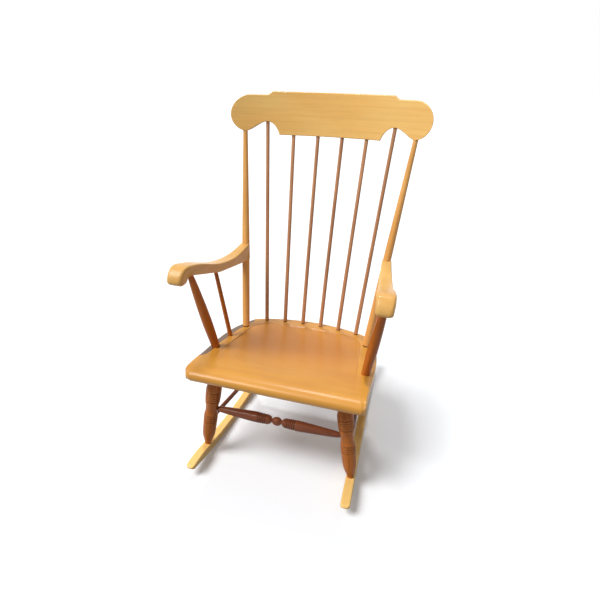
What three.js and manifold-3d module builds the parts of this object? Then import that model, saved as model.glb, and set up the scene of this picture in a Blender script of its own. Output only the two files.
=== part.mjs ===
// A boston rocking chair with a spindle back, in millimetres.
// +Z is up and the sitter faces -Y. Left and right are as seen from the front, so right is +X.
// The origin is on the floor, midway along the rockers and midway between them.
// The paired pieces are modelled on the right, and a mirrored group holds their left-hand twins.

import * as THREE from "three";
import { mergeVertices, toCreasedNormals } from "three/addons/utils/BufferGeometryUtils.js";
import Module from "manifold-3d";

const wasm = await Module();
wasm.setup();

// Fits that all the pieces share
const fitGap = 0.3;
const cutOverrun = 12;
const weldDistance = 0.001;
const creaseDegrees = 30;
const tenonNeck = 5;

// Overall
const chairHeight = 1065;

// Rockers: two bent bars that come a little closer together towards the back
const rockerLength = 768;
const rockerRadius = 1700;
const rockerThickness = 26;
const rockerWidth = 27.5;
const rockerGauge = 443;
const rockerToeInDegrees = 2.5;
const rockerRestY = -55;
const rockerTipTaper = 78;
const rockerTipShoulder = 40;
const rockerTipInset = 8;
const rockerTipHeight = 9;
const rockerEdgeRound = 2;
const rockerArcSegments = 10;
const rockerTipSegments = 4;

// Seat: a thick board that slopes down to the back, rolled over at the front and dished on top
const seatFrontY = -345;
const seatFrontHeight = 360.5;
const seatTiltDegrees = 6;
const seatThickness = 34;
const seatWidth = 519;
const seatDepth = 492;
const seatCornerRadius = 30;
const seatSideStraight = 190;
const seatSidePull = 120;
const seatShoulderWidth = 394;
const seatShoulderDepth = 431;
const seatShoulderPull = 60;
const seatShoulderDegrees = 34;
const seatBackWidth = 386;
const seatBackBow = 46;
const seatRollDepth = 34;
const seatNoseDrop = 15;
const seatUnderReturn = 16;

// The band planed down along each side of the seat, outside the feet of the posts
const bandStart = 104;
const bandWidth = 25;
const bandSlopeDegrees = 8;
const bandWidthShares = [
  [0, 0],
  [0.02, 0.45],
  [0.06, 0.75],
  [0.12, 0.92],
  [0.3, 0.92],
  [0.5, 1.1],
  [0.85, 1.1],
  [0.93, 0.85],
  [1, 0],
];

// The dish in the seat, a shallow bowl inside a shield-shaped edge
const dishDepth = 7.5;
const dishBowlWidth = 460;
const dishBowlLength = 400;
const dishBowlCentre = 284;
const dishFront = 84;
const dishFrontWidth = 440;
const dishBackWidth = 386;
const dishCorner = 345;
const dishBack = 435;

// Crest rail: a board bent to an arc, leaning back, with an ear at each end
const crestWidth = 640;
const crestHeight = 134;
const crestThickness = 20;
const crestRadius = 746;
const crestReclineDegrees = 13.5;
const crestFrontY = 258;
const crestEarRadius = 57;
const crestEarDrop = 8;
const crestNotchInset = 152;
const crestNotchTop = 40;
const crestNotchPeakInset = 112;
const crestStepOuterInset = 105;
const crestStepInnerInset = 123;
const crestStepHeight = 11;

// Stiles: the two outer uprights of the back, from the seat to the ears
const stileDiameter = 25;
const stileTopDiameter = 15;
const stileSeatX = 211;
const stileSeatY = 20;
const stileCrestX = 276;
const stileSeatTenon = 26;
const stileCrestTenon = 20;
const stileCrestForward = 1.5;
const stileShares = [
  [0, 0.96],
  [0.08, 1],
  [0.44, 1],
  [0.6, 0.9],
  [0.8, 0.75],
];

// Back spindles, fanned out from an arc on the seat to the crest rail
const spindleDiameter = 12.5;
const spindleSeatPitch = 65;
const spindleInnerCrestX = 40.5;
const spindleMiddleCrestX = 121.5;
const spindleOuterCrestX = 208.5;
const spindleRowY = 120;
const spindleRowRadius = 658;
const spindleSeatTenon = 24;
const spindleCrestTenon = 26;
const spindleShares = [
  [0, 1],
  [0.25, 0.96],
  [0.5, 0.86],
  [0.8, 0.82],
];

// Arms: they butt on the stiles, dip, rise to the front and end in a rolled nose
const armFrontX = 278;
const armFrontY = -304.5;
const armNoseY = -275;
const armLowestTop = 582;
const armRise = 62;
const armWidth = 50;
const armEdgeRound = 8;
const armStileInset = 3;
const armTopShares = [
  [0, 0.16],
  [0.12, 0.05],
  [0.25, 0],
  [0.39, 0.08],
  [0.52, 0.26],
  [0.64, 0.53],
  [0.75, 0.79],
  [0.84, 0.94],
  [0.89, 1],
];
const armNoseShares = [
  [0.89, 1],
  [0.93, 0.97],
  [0.965, 0.81],
  [0.99, 0.6],
  [1, 0.44],
  [0.985, 0.3],
  [0.95, 0.24],
  [0.918, 0.28],
  [0.885, 0.43],
  [0.835, 0.47],
];
const armUnderShares = [
  [0.835, 0.47],
  [0.715, 0.19],
  [0.58, -0.1],
  [0.49, -0.27],
  [0.36, -0.4],
  [0.22, -0.53],
  [0.1, -0.64],
  [0.04, -0.68],
];
const armWidthShares = [
  [0, 0.6],
  [0.12, 0.68],
  [0.25, 0.78],
  [0.5, 0.85],
  [0.68, 0.86],
  [0.8, 0.95],
  [0.9, 1],
  [0.95, 0.96],
  [1, 0.8],
];

// Arm posts, between the seat's front corners and the arms
const postDiameter = 30;
const postNeckDiameter = 15;
const postSeatX = 236;
const postSeatY = -166;
const postArmY = -219;
const postArmOutset = 3;
const postSeatTenon = 26;
const postArmTenon = 18;
const postShares = [
  [0, 0.84],
  [0.15, 0.93],
  [0.35, 1],
  [0.55, 0.95],
  [0.75, 0.82],
  [0.9, 0.68],
];

// Arm spindles, behind the posts
const armSpindleDiameter = 14.5;
const armSpindleTopDiameter = 12.5;
const armSpindleSeatX = 229;
const armSpindleSeatY = -73;
const armSpindleArmY = -92;
const armSpindleSeatTenon = 24;
const armSpindleArmTenon = 14;
const armSpindleShares = [
  [0, 1],
  [0.3, 0.98],
  [0.7, 0.92],
];

// Legs, turned with two bulges and two sets of rings
const legDiameter = 47.5;
const legTenonDiameter = 26;
const legTenonLength = 23;
const legFootDiameter = 18;
const legFootTenon = 16;
const frontLegTopX = 192.5;
const frontLegTopY = -260;
const frontLegFootY = -269;
const rearLegTopX = 158;
const rearLegTopY = 35;
const rearLegFootY = 75;
const ringDepthShare = 0.06;
const legNeckShares = [
  [0, 0.76],
  [0.12, 0.78],
  [0.16, 0.85],
  [0.195, 0.95],
  [0.225, 1],
  [0.247, 1],
];
const legUpperRingShares = { from: 0.257, to: 0.334, rings: 3, startShare: 1, endShare: 0.985 };
const legWaistShares = [
  [0.35, 0.97],
  [0.39, 0.93],
  [0.425, 0.86],
  [0.46, 0.81],
  [0.525, 0.79],
  [0.545, 0.86],
  [0.575, 0.9],
];
const legLowerRingShares = { from: 0.59, to: 0.662, rings: 3, startShare: 0.91, endShare: 0.9 };
const legAnkleShares = [
  [0.69, 0.885],
  [0.76, 0.88],
  [0.83, 0.84],
  [0.89, 0.72],
  [0.95, 0.52],
];

// Stretchers: a turned one in front, plain dowels at the sides and the back
const frontStretcherHeight = 184.5;
const frontStretcherDiameter = 32;
const stretcherTenonDiameter = 12;
const stretcherTenonLength = 14;
const frontStretcherBallShares = [
  [0, 0.81],
  [0.03, 0.77],
  [0.055, 0.62],
  [0.072, 0.4],
  [0.085, 0.4],
  [0.1, 0.68],
  [0.13, 0.86],
];
const frontStretcherRingShares = { from: 0.14, to: 0.31, rings: 5, startShare: 0.9, endShare: 1 };
const frontStretcherEndShares = [
  [0.33, 1],
  [0.45, 0.95],
  [0.7, 0.78],
  [0.88, 0.64],
  [0.95, 0.55],
];
const dowelDiameter = 14;
const dowelShares = [
  [0, 0.86],
  [0.05, 1],
  [0.95, 1],
];
const sideStretcherFrontHeight = 137;
const sideStretcherRearHeight = 106;
const rearStretcherHeight = 130;

// Fineness of the round pieces
const legSegments = 14;
const postSegments = 16;
const spindleSegments = 12;
const curveSegments = 4;
const armCurveSegments = 2;

// Finishes
const finishes = {
  honey: { color: 0xe2a854, roughness: 0.35 },
  amber: { color: 0xc07f3a, roughness: 0.35 },
  walnut: { color: 0x8a4f24, roughness: 0.4 },
};

const { degToRad } = THREE.MathUtils;
const quarterTurn = Math.PI / 2;
const latheAxis = new THREE.Vector3(0, 1, 0);
const mirrorX = new THREE.Vector3(-1, 1, 1);

// A closed geometry as a solid that can be joined and cut.
function toSolid(geometry) {
  const bare = geometry.clone();
  bare.deleteAttribute("normal");
  bare.deleteAttribute("uv");
  const merged = mergeVertices(bare, weldDistance);
  const vertProperties = new Float32Array(merged.attributes.position.array);
  const triVerts = new Uint32Array(merged.index.array);
  return new wasm.Manifold(new wasm.Mesh({ numProp: 3, vertProperties, triVerts }));
}

// A solid as a geometry, smooth over gentle bends and sharp at its edges.
function toGeometry(solid) {
  const { numProp, vertProperties, triVerts } = solid.getMesh();
  const corners = [];
  for (let start = 0; start < vertProperties.length; start += numProp) {
    corners.push(vertProperties[start], vertProperties[start + 1], vertProperties[start + 2]);
  }
  const geometry = new THREE.BufferGeometry();
  geometry.setAttribute("position", new THREE.Float32BufferAttribute(corners, 3));
  geometry.setIndex([...triVerts]);
  return toCreasedNormals(geometry, degToRad(creaseDegrees));
}

function common(first, second) {
  return toGeometry(toSolid(first).intersect(toSolid(second)));
}

// Cuts the tools, which stand in the chair's frame, out of a placed mesh.
function cut(mesh, tools) {
  mesh.updateMatrix();
  const toMesh = mesh.matrix.clone().invert();
  let solid = toSolid(mesh.geometry);
  for (const tool of tools) {
    solid = solid.subtract(toSolid(tool.clone().applyMatrix4(toMesh)));
  }
  mesh.geometry = toGeometry(solid);
}

// Turns an outline drawn in the YZ plane so that its thickness runs along X, about the middle.
function acrossX(shape, width, options) {
  const { bevelThickness = 0 } = options;
  const depth = width - 2 * bevelThickness;
  const geometry = new THREE.ExtrudeGeometry(shape, { depth, ...options });
  geometry.translate(0, 0, -depth / 2);
  const xAxis = new THREE.Vector3(1, 0, 0);
  const yAxis = new THREE.Vector3(0, 1, 0);
  const zAxis = new THREE.Vector3(0, 0, 1);
  return geometry.applyMatrix4(new THREE.Matrix4().makeBasis(yAxis, zAxis, xAxis));
}

// A closed outline from its right half, which runs from the centre line to the centre line.
function mirroredShape(rightHalf, divisions) {
  const right = rightHalf.getPoints(divisions);
  const left = right.slice(1, -1).reverse();
  return new THREE.Shape([...right, ...left.map((point) => new THREE.Vector2(-point.x, point.y))]);
}

// The value at a place in a table of [place, value] rows whose places rise.
function valueAt(rows, place) {
  const next = Math.max(1, rows.findIndex(([rowPlace]) => rowPlace >= place));
  const [fromPlace, fromValue] = rows[next - 1];
  const [toPlace, toValue] = rows[next];
  return THREE.MathUtils.mapLinear(place, fromPlace, toPlace, fromValue, toValue);
}

function woodMaterial(finish) {
  return new THREE.MeshStandardMaterial({ ...finishes[finish], metalness: 0 });
}

function mirroredLine(line) {
  return new THREE.Line3(line.start.clone().multiply(mirrorX), line.end.clone().multiply(mirrorX));
}

function pointAtHeight(line, height) {
  const share = (height - line.start.z) / (line.end.z - line.start.z);
  return line.at(share, new THREE.Vector3());
}

// Rows of [share, diameter share] for turned rings: a groove, then a ridge, along a taper.
function turnedRings({ from, to, rings, startShare, endShare }) {
  const rows = [];
  for (let step = 0; step <= 2 * rings; step += 1) {
    const along = step / (2 * rings);
    const ridge = THREE.MathUtils.lerp(startShare, endShare, along);
    const depth = step % 2 === 0 ? ringDepthShare : 0;
    rows.push([THREE.MathUtils.lerp(from, to, along), ridge - depth]);
  }
  return rows;
}

// A turned piece along a line. Its tenons go on past both ends of the line.
function turnedPiece(name, line, turning, finish) {
  const { diameter, shares, startTenon, endTenon, endDiameter, segments } = turning;
  const length = line.distance();
  const first = (diameter * shares[0][1]) / 2;
  const last = endDiameter / 2;
  const profile = [new THREE.Vector2(0, -startTenon), new THREE.Vector2(first, -startTenon)];
  for (const [share, diameterShare] of shares) {
    profile.push(new THREE.Vector2((diameter * diameterShare) / 2, share * length));
  }
  profile.push(new THREE.Vector2(last, length - tenonNeck));
  profile.push(new THREE.Vector2(last, length + endTenon));
  profile.push(new THREE.Vector2(0, length + endTenon));
  const mesh = new THREE.Mesh(new THREE.LatheGeometry(profile, segments), woodMaterial(finish));
  mesh.name = name;
  mesh.position.copy(line.start);
  const direction = line.delta(new THREE.Vector3()).normalize();
  mesh.quaternion.setFromUnitVectors(latheAxis, direction);
  return mesh;
}

// A round cutter, or a tenon, from a point along a direction.
function rod(point, direction, radius, length, segments) {
  const geometry = new THREE.CylinderGeometry(radius, radius, length, segments);
  geometry.translate(0, length / 2, 0);
  const turn = new THREE.Quaternion().setFromUnitVectors(latheAxis, direction);
  return geometry.applyQuaternion(turn).translate(point.x, point.y, point.z);
}

// The drilled socket for the tenon that goes on past the end of a line. Its flats clear the tenon.
function socket(line, tenonDiameter, tenonLength, segments) {
  const inward = line.delta(new THREE.Vector3()).normalize();
  const mouth = line.end.clone().addScaledVector(inward, -cutOverrun);
  const radius = (tenonDiameter / 2 + fitGap) / Math.cos(Math.PI / segments);
  return rod(mouth, inward, radius, cutOverrun + tenonLength + fitGap, segments);
}

function reversed(line) {
  return new THREE.Line3(line.end, line.start);
}

// Where things stand

const seatTilt = degToRad(seatTiltDegrees);
const rockerToeIn = degToRad(rockerToeInDegrees);
const crestLean = Math.tan(degToRad(crestReclineDegrees));
const crestRise = crestHeight * Math.cos(degToRad(crestReclineDegrees));
const crestBottomZ = chairHeight - crestRise;

function seatTopZ(y) {
  return seatFrontHeight - Math.tan(seatTilt) * (y - seatFrontY);
}

function seatUnderZ(y) {
  return seatTopZ(y) - seatThickness / Math.cos(seatTilt);
}

function rockerX(y) {
  return rockerGauge / 2 - Math.tan(rockerToeIn) * y;
}

// The height of an arc of the rocker, below or on top, at a distance along it.
function rockerArcZ(radius, along) {
  return rockerRadius - Math.sqrt(radius ** 2 - (along - rockerRestY) ** 2);
}

function rockerTopZ(y) {
  return rockerArcZ(rockerRadius - rockerThickness, y / Math.cos(rockerToeIn));
}

// How far forward of its middle the crest rail's middle surface is at a distance from the centre.
function crestBow(x) {
  const radius = crestRadius + crestThickness / 2;
  return radius - Math.sqrt(radius ** 2 - x ** 2);
}

// The outline of the crest rail's right half, from the bottom edge round the ear to the top.
function crestOutline() {
  const half = crestWidth / 2;
  const cornerX = half - crestNotchInset;
  const peakX = half - crestNotchPeakInset;
  const earX = half - crestEarRadius;
  const earY = crestEarDrop + crestEarRadius;
  const stepOuterX = half - crestStepOuterInset;
  const stepInnerX = half - crestStepInnerInset;
  const stepY = crestHeight - crestStepHeight;
  const peakPull = (peakX - cornerX) / 2;
  const earPull = (earX - peakX) / 2;
  const outline = new THREE.Path();
  outline.moveTo(0, 0);
  outline.lineTo(cornerX, 0);
  outline.bezierCurveTo(cornerX + peakPull / 2, crestNotchTop / 2, peakX - peakPull, crestNotchTop, peakX, crestNotchTop);
  outline.bezierCurveTo(peakX + earPull, crestNotchTop, earX - earPull, crestEarDrop, earX, crestEarDrop);
  outline.absarc(earX, earY, crestEarRadius, -quarterTurn, quarterTurn, false);
  outline.lineTo(stepOuterX, stepY);
  outline.quadraticCurveTo(stepInnerX, stepY, stepInnerX, crestHeight);
  outline.lineTo(0, crestHeight);
  return outline;
}

// The height of the crest rail's lower edge above its bottom, at a distance from the centre.
function crestEdgeRise(x) {
  const points = crestOutline().getPoints(4 * curveSegments);
  const lowest = points.slice(0, points.findIndex((point) => point.x > crestWidth / 2 - crestEarRadius / 2));
  return valueAt(lowest.map((point) => [point.x, point.y]), x);
}

// Where an upright that reaches the crest rail at a distance from the centre enters its lower edge.
function crestEntry(x) {
  const rise = (crestEdgeRise(x) * crestRise) / crestHeight;
  const middleY = crestFrontY + crestThickness / 2;
  return new THREE.Vector3(x, middleY - crestBow(x) + crestLean * rise, crestBottomZ + rise);
}

function seatEntry(x, y) {
  return new THREE.Vector3(x, y, seatTopZ(y));
}

const stileLine = new THREE.Line3(seatEntry(stileSeatX, stileSeatY), crestEntry(stileCrestX));
stileLine.end.y -= stileCrestForward;

// The arm's own places: rearmost on the stile, then forward and up by shares.
const armRear = pointAtHeight(stileLine, armLowestTop + armRise * armTopShares[0][1]);
armRear.y -= armStileInset;
const armLength = armRear.y - armFrontY;

function armPoint([along, rise]) {
  return new THREE.Vector2(armRear.y - along * armLength, armLowestTop + rise * armRise);
}

function armCentreX(y) {
  return THREE.MathUtils.mapLinear(y, armRear.y, armNoseY, armRear.x, armFrontX);
}

function armUnderZ(y) {
  const under = new THREE.SplineCurve(armUnderShares.map(armPoint));
  const points = under.getPoints(armUnderShares.length * curveSegments);
  return valueAt(points.map((point) => [point.x, point.y]), y);
}

function armEntry(y) {
  return new THREE.Vector3(armCentreX(y), y, armUnderZ(y));
}

function legLine(topX, topY, footY) {
  const top = new THREE.Vector3(topX, topY, seatUnderZ(topY));
  const foot = new THREE.Vector3(rockerX(footY), footY, rockerTopZ(footY));
  return new THREE.Line3(top, foot);
}

const postLine = new THREE.Line3(seatEntry(postSeatX, postSeatY), armEntry(postArmY));
postLine.end.x += postArmOutset;
const armSpindleLine = new THREE.Line3(seatEntry(armSpindleSeatX, armSpindleSeatY), armEntry(armSpindleArmY));
const frontLegLine = legLine(frontLegTopX, frontLegTopY, frontLegFootY);
const rearLegLine = legLine(rearLegTopX, rearLegTopY, rearLegFootY);

// The back spindles' lines, from the middle outwards on the right.
const spindleCrestPlaces = [spindleInnerCrestX, spindleMiddleCrestX, spindleOuterCrestX];
const spindleLines = spindleCrestPlaces.map((crestX, place) => {
  const seatX = place * spindleSeatPitch + spindleSeatPitch / 2;
  const bow = spindleRowRadius - Math.sqrt(spindleRowRadius ** 2 - seatX ** 2);
  return new THREE.Line3(seatEntry(seatX, spindleRowY - bow), crestEntry(crestX));
});

const legShares = [
  ...legNeckShares,
  ...turnedRings(legUpperRingShares),
  ...legWaistShares,
  ...turnedRings(legLowerRingShares),
  ...legAnkleShares,
  [1, legFootDiameter / legDiameter],
];

// A stretcher's line runs between the surfaces of two legs, at a height on each.
function stretcherLine(fromLeg, fromHeight, toLeg, toHeight) {
  const from = pointAtHeight(fromLeg, fromHeight);
  const to = pointAtHeight(toLeg, toHeight);
  const direction = to.clone().sub(from).normalize();
  const legRadius = (leg, point) => {
    const share = leg.start.distanceTo(point) / leg.distance();
    return (legDiameter * valueAt(legShares, share)) / 2;
  };
  const fromReach = legRadius(fromLeg, from);
  const toReach = legRadius(toLeg, to);
  return new THREE.Line3(
    from.addScaledVector(direction, fromReach),
    to.addScaledVector(direction, -toReach),
  );
}

const frontStretcherLine = stretcherLine(
  mirroredLine(frontLegLine), frontStretcherHeight, frontLegLine, frontStretcherHeight,
);
const rearStretcherLine = stretcherLine(
  mirroredLine(rearLegLine), rearStretcherHeight, rearLegLine, rearStretcherHeight,
);
const sideStretcherLine = stretcherLine(
  frontLegLine, sideStretcherFrontHeight, rearLegLine, sideStretcherRearHeight,
);

// How each kind of upright is turned
const stileTurning = {
  diameter: stileDiameter,
  shares: stileShares,
  startTenon: stileSeatTenon,
  endTenon: stileCrestTenon,
  endDiameter: stileTopDiameter,
  segments: postSegments,
};
const spindleTurning = {
  diameter: spindleDiameter,
  shares: spindleShares,
  startTenon: spindleSeatTenon,
  endTenon: spindleCrestTenon,
  endDiameter: spindleDiameter * spindleShares.at(-1)[1],
  segments: spindleSegments,
};
const postTurning = {
  diameter: postDiameter,
  shares: postShares,
  startTenon: postSeatTenon,
  endTenon: postArmTenon,
  endDiameter: postNeckDiameter,
  segments: postSegments,
};
const armSpindleTurning = {
  diameter: armSpindleDiameter,
  shares: armSpindleShares,
  startTenon: armSpindleSeatTenon,
  endTenon: armSpindleArmTenon,
  endDiameter: armSpindleTopDiameter,
  segments: spindleSegments,
};
const frontStretcherHalf = [
  ...frontStretcherBallShares,
  ...turnedRings(frontStretcherRingShares),
  ...frontStretcherEndShares,
  [1, stretcherTenonDiameter / frontStretcherDiameter],
];
const frontStretcherTurning = {
  diameter: frontStretcherDiameter,
  shares: [
    ...frontStretcherHalf.slice(1).reverse().map(([share, size]) => [(1 - share) / 2, size]),
    ...frontStretcherHalf.map(([share, size]) => [(1 + share) / 2, size]),
  ].slice(0, -1),
  startTenon: stretcherTenonLength,
  endTenon: stretcherTenonLength,
  endDiameter: stretcherTenonDiameter,
  segments: legSegments,
};
const dowelTurning = {
  diameter: dowelDiameter,
  shares: dowelShares,
  startTenon: stretcherTenonLength,
  endTenon: stretcherTenonLength,
  endDiameter: stretcherTenonDiameter,
  segments: spindleSegments,
};

// Sockets at the two ends of a turned piece: the start one and the end one.
function startSocket(line, turning) {
  return socket(reversed(line), turning.diameter * turning.shares[0][1], turning.startTenon, turning.segments);
}

function endSocket(line, turning) {
  return socket(line, turning.endDiameter, turning.endTenon, turning.segments);
}

const uprights = [
  [stileLine, stileTurning],
  ...spindleLines.map((line) => [line, spindleTurning]),
];
const armSupports = [
  [postLine, postTurning],
  [armSpindleLine, armSpindleTurning],
];

// The seat's plan outline, right half, in the board's own plane from its front edge.
function seatOutline() {
  const half = seatWidth / 2;
  const shoulderX = seatShoulderWidth / 2;
  const backX = seatBackWidth / 2;
  const backRadius = (backX ** 2 + seatBackBow ** 2) / (2 * seatBackBow);
  const backAngle = Math.acos(backX / backRadius);
  const pull = degToRad(seatShoulderDegrees);
  const outline = new THREE.Path();
  outline.moveTo(0, 0);
  outline.lineTo(half - seatCornerRadius, 0);
  outline.absarc(half - seatCornerRadius, seatCornerRadius, seatCornerRadius, -quarterTurn, 0, false);
  outline.lineTo(half, seatSideStraight);
  outline.bezierCurveTo(
    half,
    seatSideStraight + seatSidePull,
    shoulderX + seatShoulderPull * Math.cos(pull),
    seatShoulderDepth - seatShoulderPull * Math.sin(pull),
    shoulderX,
    seatShoulderDepth,
  );
  outline.absarc(0, seatDepth - backRadius, backRadius, backAngle, quarterTurn, false);
  return outline;
}

// The seat's section along its depth, with the roll at the front.
function seatSection() {
  const back = seatDepth + cutOverrun;
  const section = new THREE.Shape();
  section.moveTo(seatRollDepth, 0);
  section.bezierCurveTo(seatRollDepth / 2, 0, 0, -seatNoseDrop / 2, 0, -seatNoseDrop);
  section.quadraticCurveTo(0, -seatThickness, seatUnderReturn, -seatThickness);
  section.lineTo(back, -seatThickness);
  section.lineTo(back, 0);
  return section;
}

// A solid through rings of the same number of points, closed by a fan at each end.
function loft(rings) {
  const ringSize = rings[0].length;
  const corners = rings.flat();
  const faces = [];
  for (let ring = 0; ring + 1 < rings.length; ring += 1) {
    for (let corner = 0; corner < ringSize; corner += 1) {
      const near = ring * ringSize + corner;
      const nearNext = ring * ringSize + ((corner + 1) % ringSize);
      faces.push(near, nearNext, nearNext + ringSize);
      faces.push(near, nearNext + ringSize, near + ringSize);
    }
  }
  const lastRing = corners.length - ringSize;
  for (let corner = 1; corner + 1 < ringSize; corner += 1) {
    faces.push(0, corner + 1, corner);
    faces.push(lastRing, lastRing + corner, lastRing + corner + 1);
  }
  const geometry = new THREE.BufferGeometry().setFromPoints(corners);
  return geometry.setIndex(faces);
}

// The cutter for the sloping band along the seat's right side, in the board's own frame.
function bandCutter() {
  const outlineRows = seatOutline().getPoints(4 * curveSegments).map((point) => [point.y, point.x]);
  const side = outlineRows.slice(1).filter(([depth]) => depth <= seatShoulderDepth);
  const slope = Math.tan(degToRad(bandSlopeDegrees));
  const stations = 4 * curveSegments;
  const rings = [];
  for (let station = 0; station <= stations; station += 1) {
    const share = station / stations;
    const depth = THREE.MathUtils.lerp(bandStart, seatShoulderDepth, share);
    const outerX = valueAt(side, depth);
    const width = bandWidth * valueAt(bandWidthShares, share);
    const farX = outerX + cutOverrun;
    const rimX = outerX - width;
    rings.push([
      new THREE.Vector3(rimX, depth, 0),
      new THREE.Vector3(rimX, depth, cutOverrun),
      new THREE.Vector3(farX, depth, cutOverrun),
      new THREE.Vector3(farX, depth, -(farX - rimX) * slope),
    ]);
  }
  return loft(rings);
}

// The cutter for the dish: a bowl inside a prism of the dish's outline.
function dishCutter() {
  const outline = new THREE.Path();
  outline.moveTo(0, dishFront);
  outline.lineTo(dishFrontWidth / 2, dishFront);
  outline.lineTo(dishBackWidth / 2, dishCorner);
  outline.bezierCurveTo(
    dishBackWidth / 2, dishBack, dishBackWidth / 4, dishBack, 0, dishBack,
  );
  const prism = new THREE.ExtrudeGeometry(mirroredShape(outline, 2 * curveSegments), {
    depth: dishDepth + cutOverrun,
    bevelEnabled: false,
  });
  prism.translate(0, 0, -dishDepth);
  const rings = 2 * curveSegments;
  const reach = 2;
  const profile = [];
  for (let ring = 0; ring <= rings; ring += 1) {
    const radius = (reach * ring) / rings;
    profile.push(new THREE.Vector2(radius, radius ** 2 - 1));
  }
  profile.push(new THREE.Vector2(0, reach ** 2 - 1));
  const bowl = new THREE.LatheGeometry(profile, 8 * curveSegments);
  bowl.rotateX(quarterTurn);
  bowl.scale(dishBowlWidth / 2, dishBowlLength / 2, dishDepth);
  bowl.translate(0, dishBowlCentre, 0);
  return common(prism, bowl);
}

function makeSeat() {
  const plan = new THREE.ExtrudeGeometry(mirroredShape(seatOutline(), 2 * curveSegments), {
    depth: seatThickness + 2 * cutOverrun,
    bevelEnabled: false,
  });
  plan.translate(0, 0, -seatThickness - cutOverrun);
  const section = acrossX(seatSection(), seatWidth + 2 * cutOverrun, {
    bevelEnabled: false,
    curveSegments,
  });
  const mesh = new THREE.Mesh(common(plan, section), woodMaterial("honey"));
  const band = bandCutter();
  const otherBand = toGeometry(toSolid(band));
  otherBand.scale(-1, 1, 1);
  cut(mesh, [dishCutter(), band, flipped(otherBand)]);
  mesh.name = "seat";
  mesh.position.set(0, seatFrontY, seatFrontHeight);
  mesh.rotation.x = -seatTilt;
  const sockets = [];
  for (const [line, turning] of [...uprights, ...armSupports]) {
    sockets.push(startSocket(line, turning), startSocket(mirroredLine(line), turning));
  }
  for (const line of [frontLegLine, rearLegLine]) {
    for (const leg of [line, mirroredLine(line)]) {
      sockets.push(socket(reversed(leg), legTenonDiameter, legTenonLength, legSegments));
    }
  }
  cut(mesh, sockets);
  return mesh;
}

// Turns a mirrored geometry's faces the right way out again.
function flipped(geometry) {
  const turned = mergeVertices(geometry, weldDistance);
  const corners = turned.index.array;
  for (let start = 0; start < corners.length; start += 3) {
    [corners[start + 1], corners[start + 2]] = [corners[start + 2], corners[start + 1]];
  }
  return turned;
}

function makeCrest() {
  const outlineShape = mirroredShape(crestOutline(), 2 * curveSegments);
  const bowDepth = crestBow(crestWidth / 2) + crestThickness;
  const board = new THREE.ExtrudeGeometry(outlineShape, {
    depth: 2 * bowDepth,
    bevelEnabled: false,
  });
  board.rotateX(quarterTurn);
  board.translate(0, bowDepth, 0);
  board.scale(1, 1, crestRise / crestHeight);
  const backRadius = crestRadius + crestThickness;
  const reach = Math.asin((crestWidth / 2 + crestThickness) / crestRadius);
  const arc = new THREE.Shape();
  arc.absarc(0, -crestRadius, backRadius, quarterTurn - reach, quarterTurn + reach, false);
  arc.absarc(0, -crestRadius, crestRadius, quarterTurn + reach, quarterTurn - reach, true);
  const band = new THREE.ExtrudeGeometry(arc, {
    depth: crestHeight + 2 * cutOverrun,
    bevelEnabled: false,
    curveSegments: 6 * curveSegments,
  });
  band.translate(0, 0, -cutOverrun);
  const geometry = common(board, band);
  geometry.applyMatrix4(new THREE.Matrix4().makeShear(0, 0, 0, 0, 0, crestLean));
  const mesh = new THREE.Mesh(geometry, woodMaterial("honey"));
  mesh.name = "crest_rail";
  mesh.position.set(0, crestFrontY, crestBottomZ);
  const sockets = [];
  for (const [line, turning] of uprights) {
    sockets.push(endSocket(line, turning), endSocket(mirroredLine(line), turning));
  }
  cut(mesh, sockets);
  return mesh;
}

function makeArm() {
  const outline = new THREE.Shape();
  outline.moveTo(armPoint(armTopShares[0]).x, armPoint(armTopShares[0]).y);
  outline.splineThru(armTopShares.slice(1).map(armPoint));
  outline.splineThru(armNoseShares.slice(1).map(armPoint));
  outline.splineThru(armUnderShares.slice(1).map(armPoint));
  const geometry = acrossX(outline, armWidth, {
    bevelThickness: armEdgeRound,
    bevelSize: armEdgeRound,
    bevelOffset: -armEdgeRound,
    bevelSegments: 2,
    curveSegments: armCurveSegments,
  });
  const places = geometry.attributes.position;
  for (let index = 0; index < places.count; index += 1) {
    const y = places.getY(index);
    const share = THREE.MathUtils.clamp((armRear.y - y) / armLength, 0, 1);
    const width = valueAt(armWidthShares, share);
    places.setX(index, armCentreX(y) + places.getX(index) * width);
  }
  const mesh = new THREE.Mesh(geometry, woodMaterial("honey"));
  mesh.name = "arm";
  const stileRadius = stileDiameter / 2 + fitGap;
  const direction = stileLine.delta(new THREE.Vector3()).normalize();
  const tools = [rod(stileLine.start, direction, stileRadius, stileLine.distance(), postSegments)];
  for (const [line, turning] of armSupports) {
    tools.push(endSocket(line, turning));
  }
  cut(mesh, tools);
  return mesh;
}

// The points of a rocker's rounded tip from below to the top, without the two where the arcs end.
function rockerTip(end, sense) {
  const topRadius = rockerRadius - rockerThickness;
  const underZ = rockerArcZ(rockerRadius, end);
  const inner = end - sense * rockerTipInset;
  const taper = end - sense * rockerTipTaper;
  const shoulder = end - sense * rockerTipShoulder;
  const curve = new THREE.Path();
  curve.moveTo(inner, rockerArcZ(rockerRadius, inner));
  curve.quadraticCurveTo(end, underZ, end, underZ + rockerTipHeight);
  curve.quadraticCurveTo(shoulder, rockerArcZ(topRadius, shoulder), taper, rockerArcZ(topRadius, taper));
  return curve.getPoints(rockerTipSegments).slice(1, -1);
}

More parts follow.
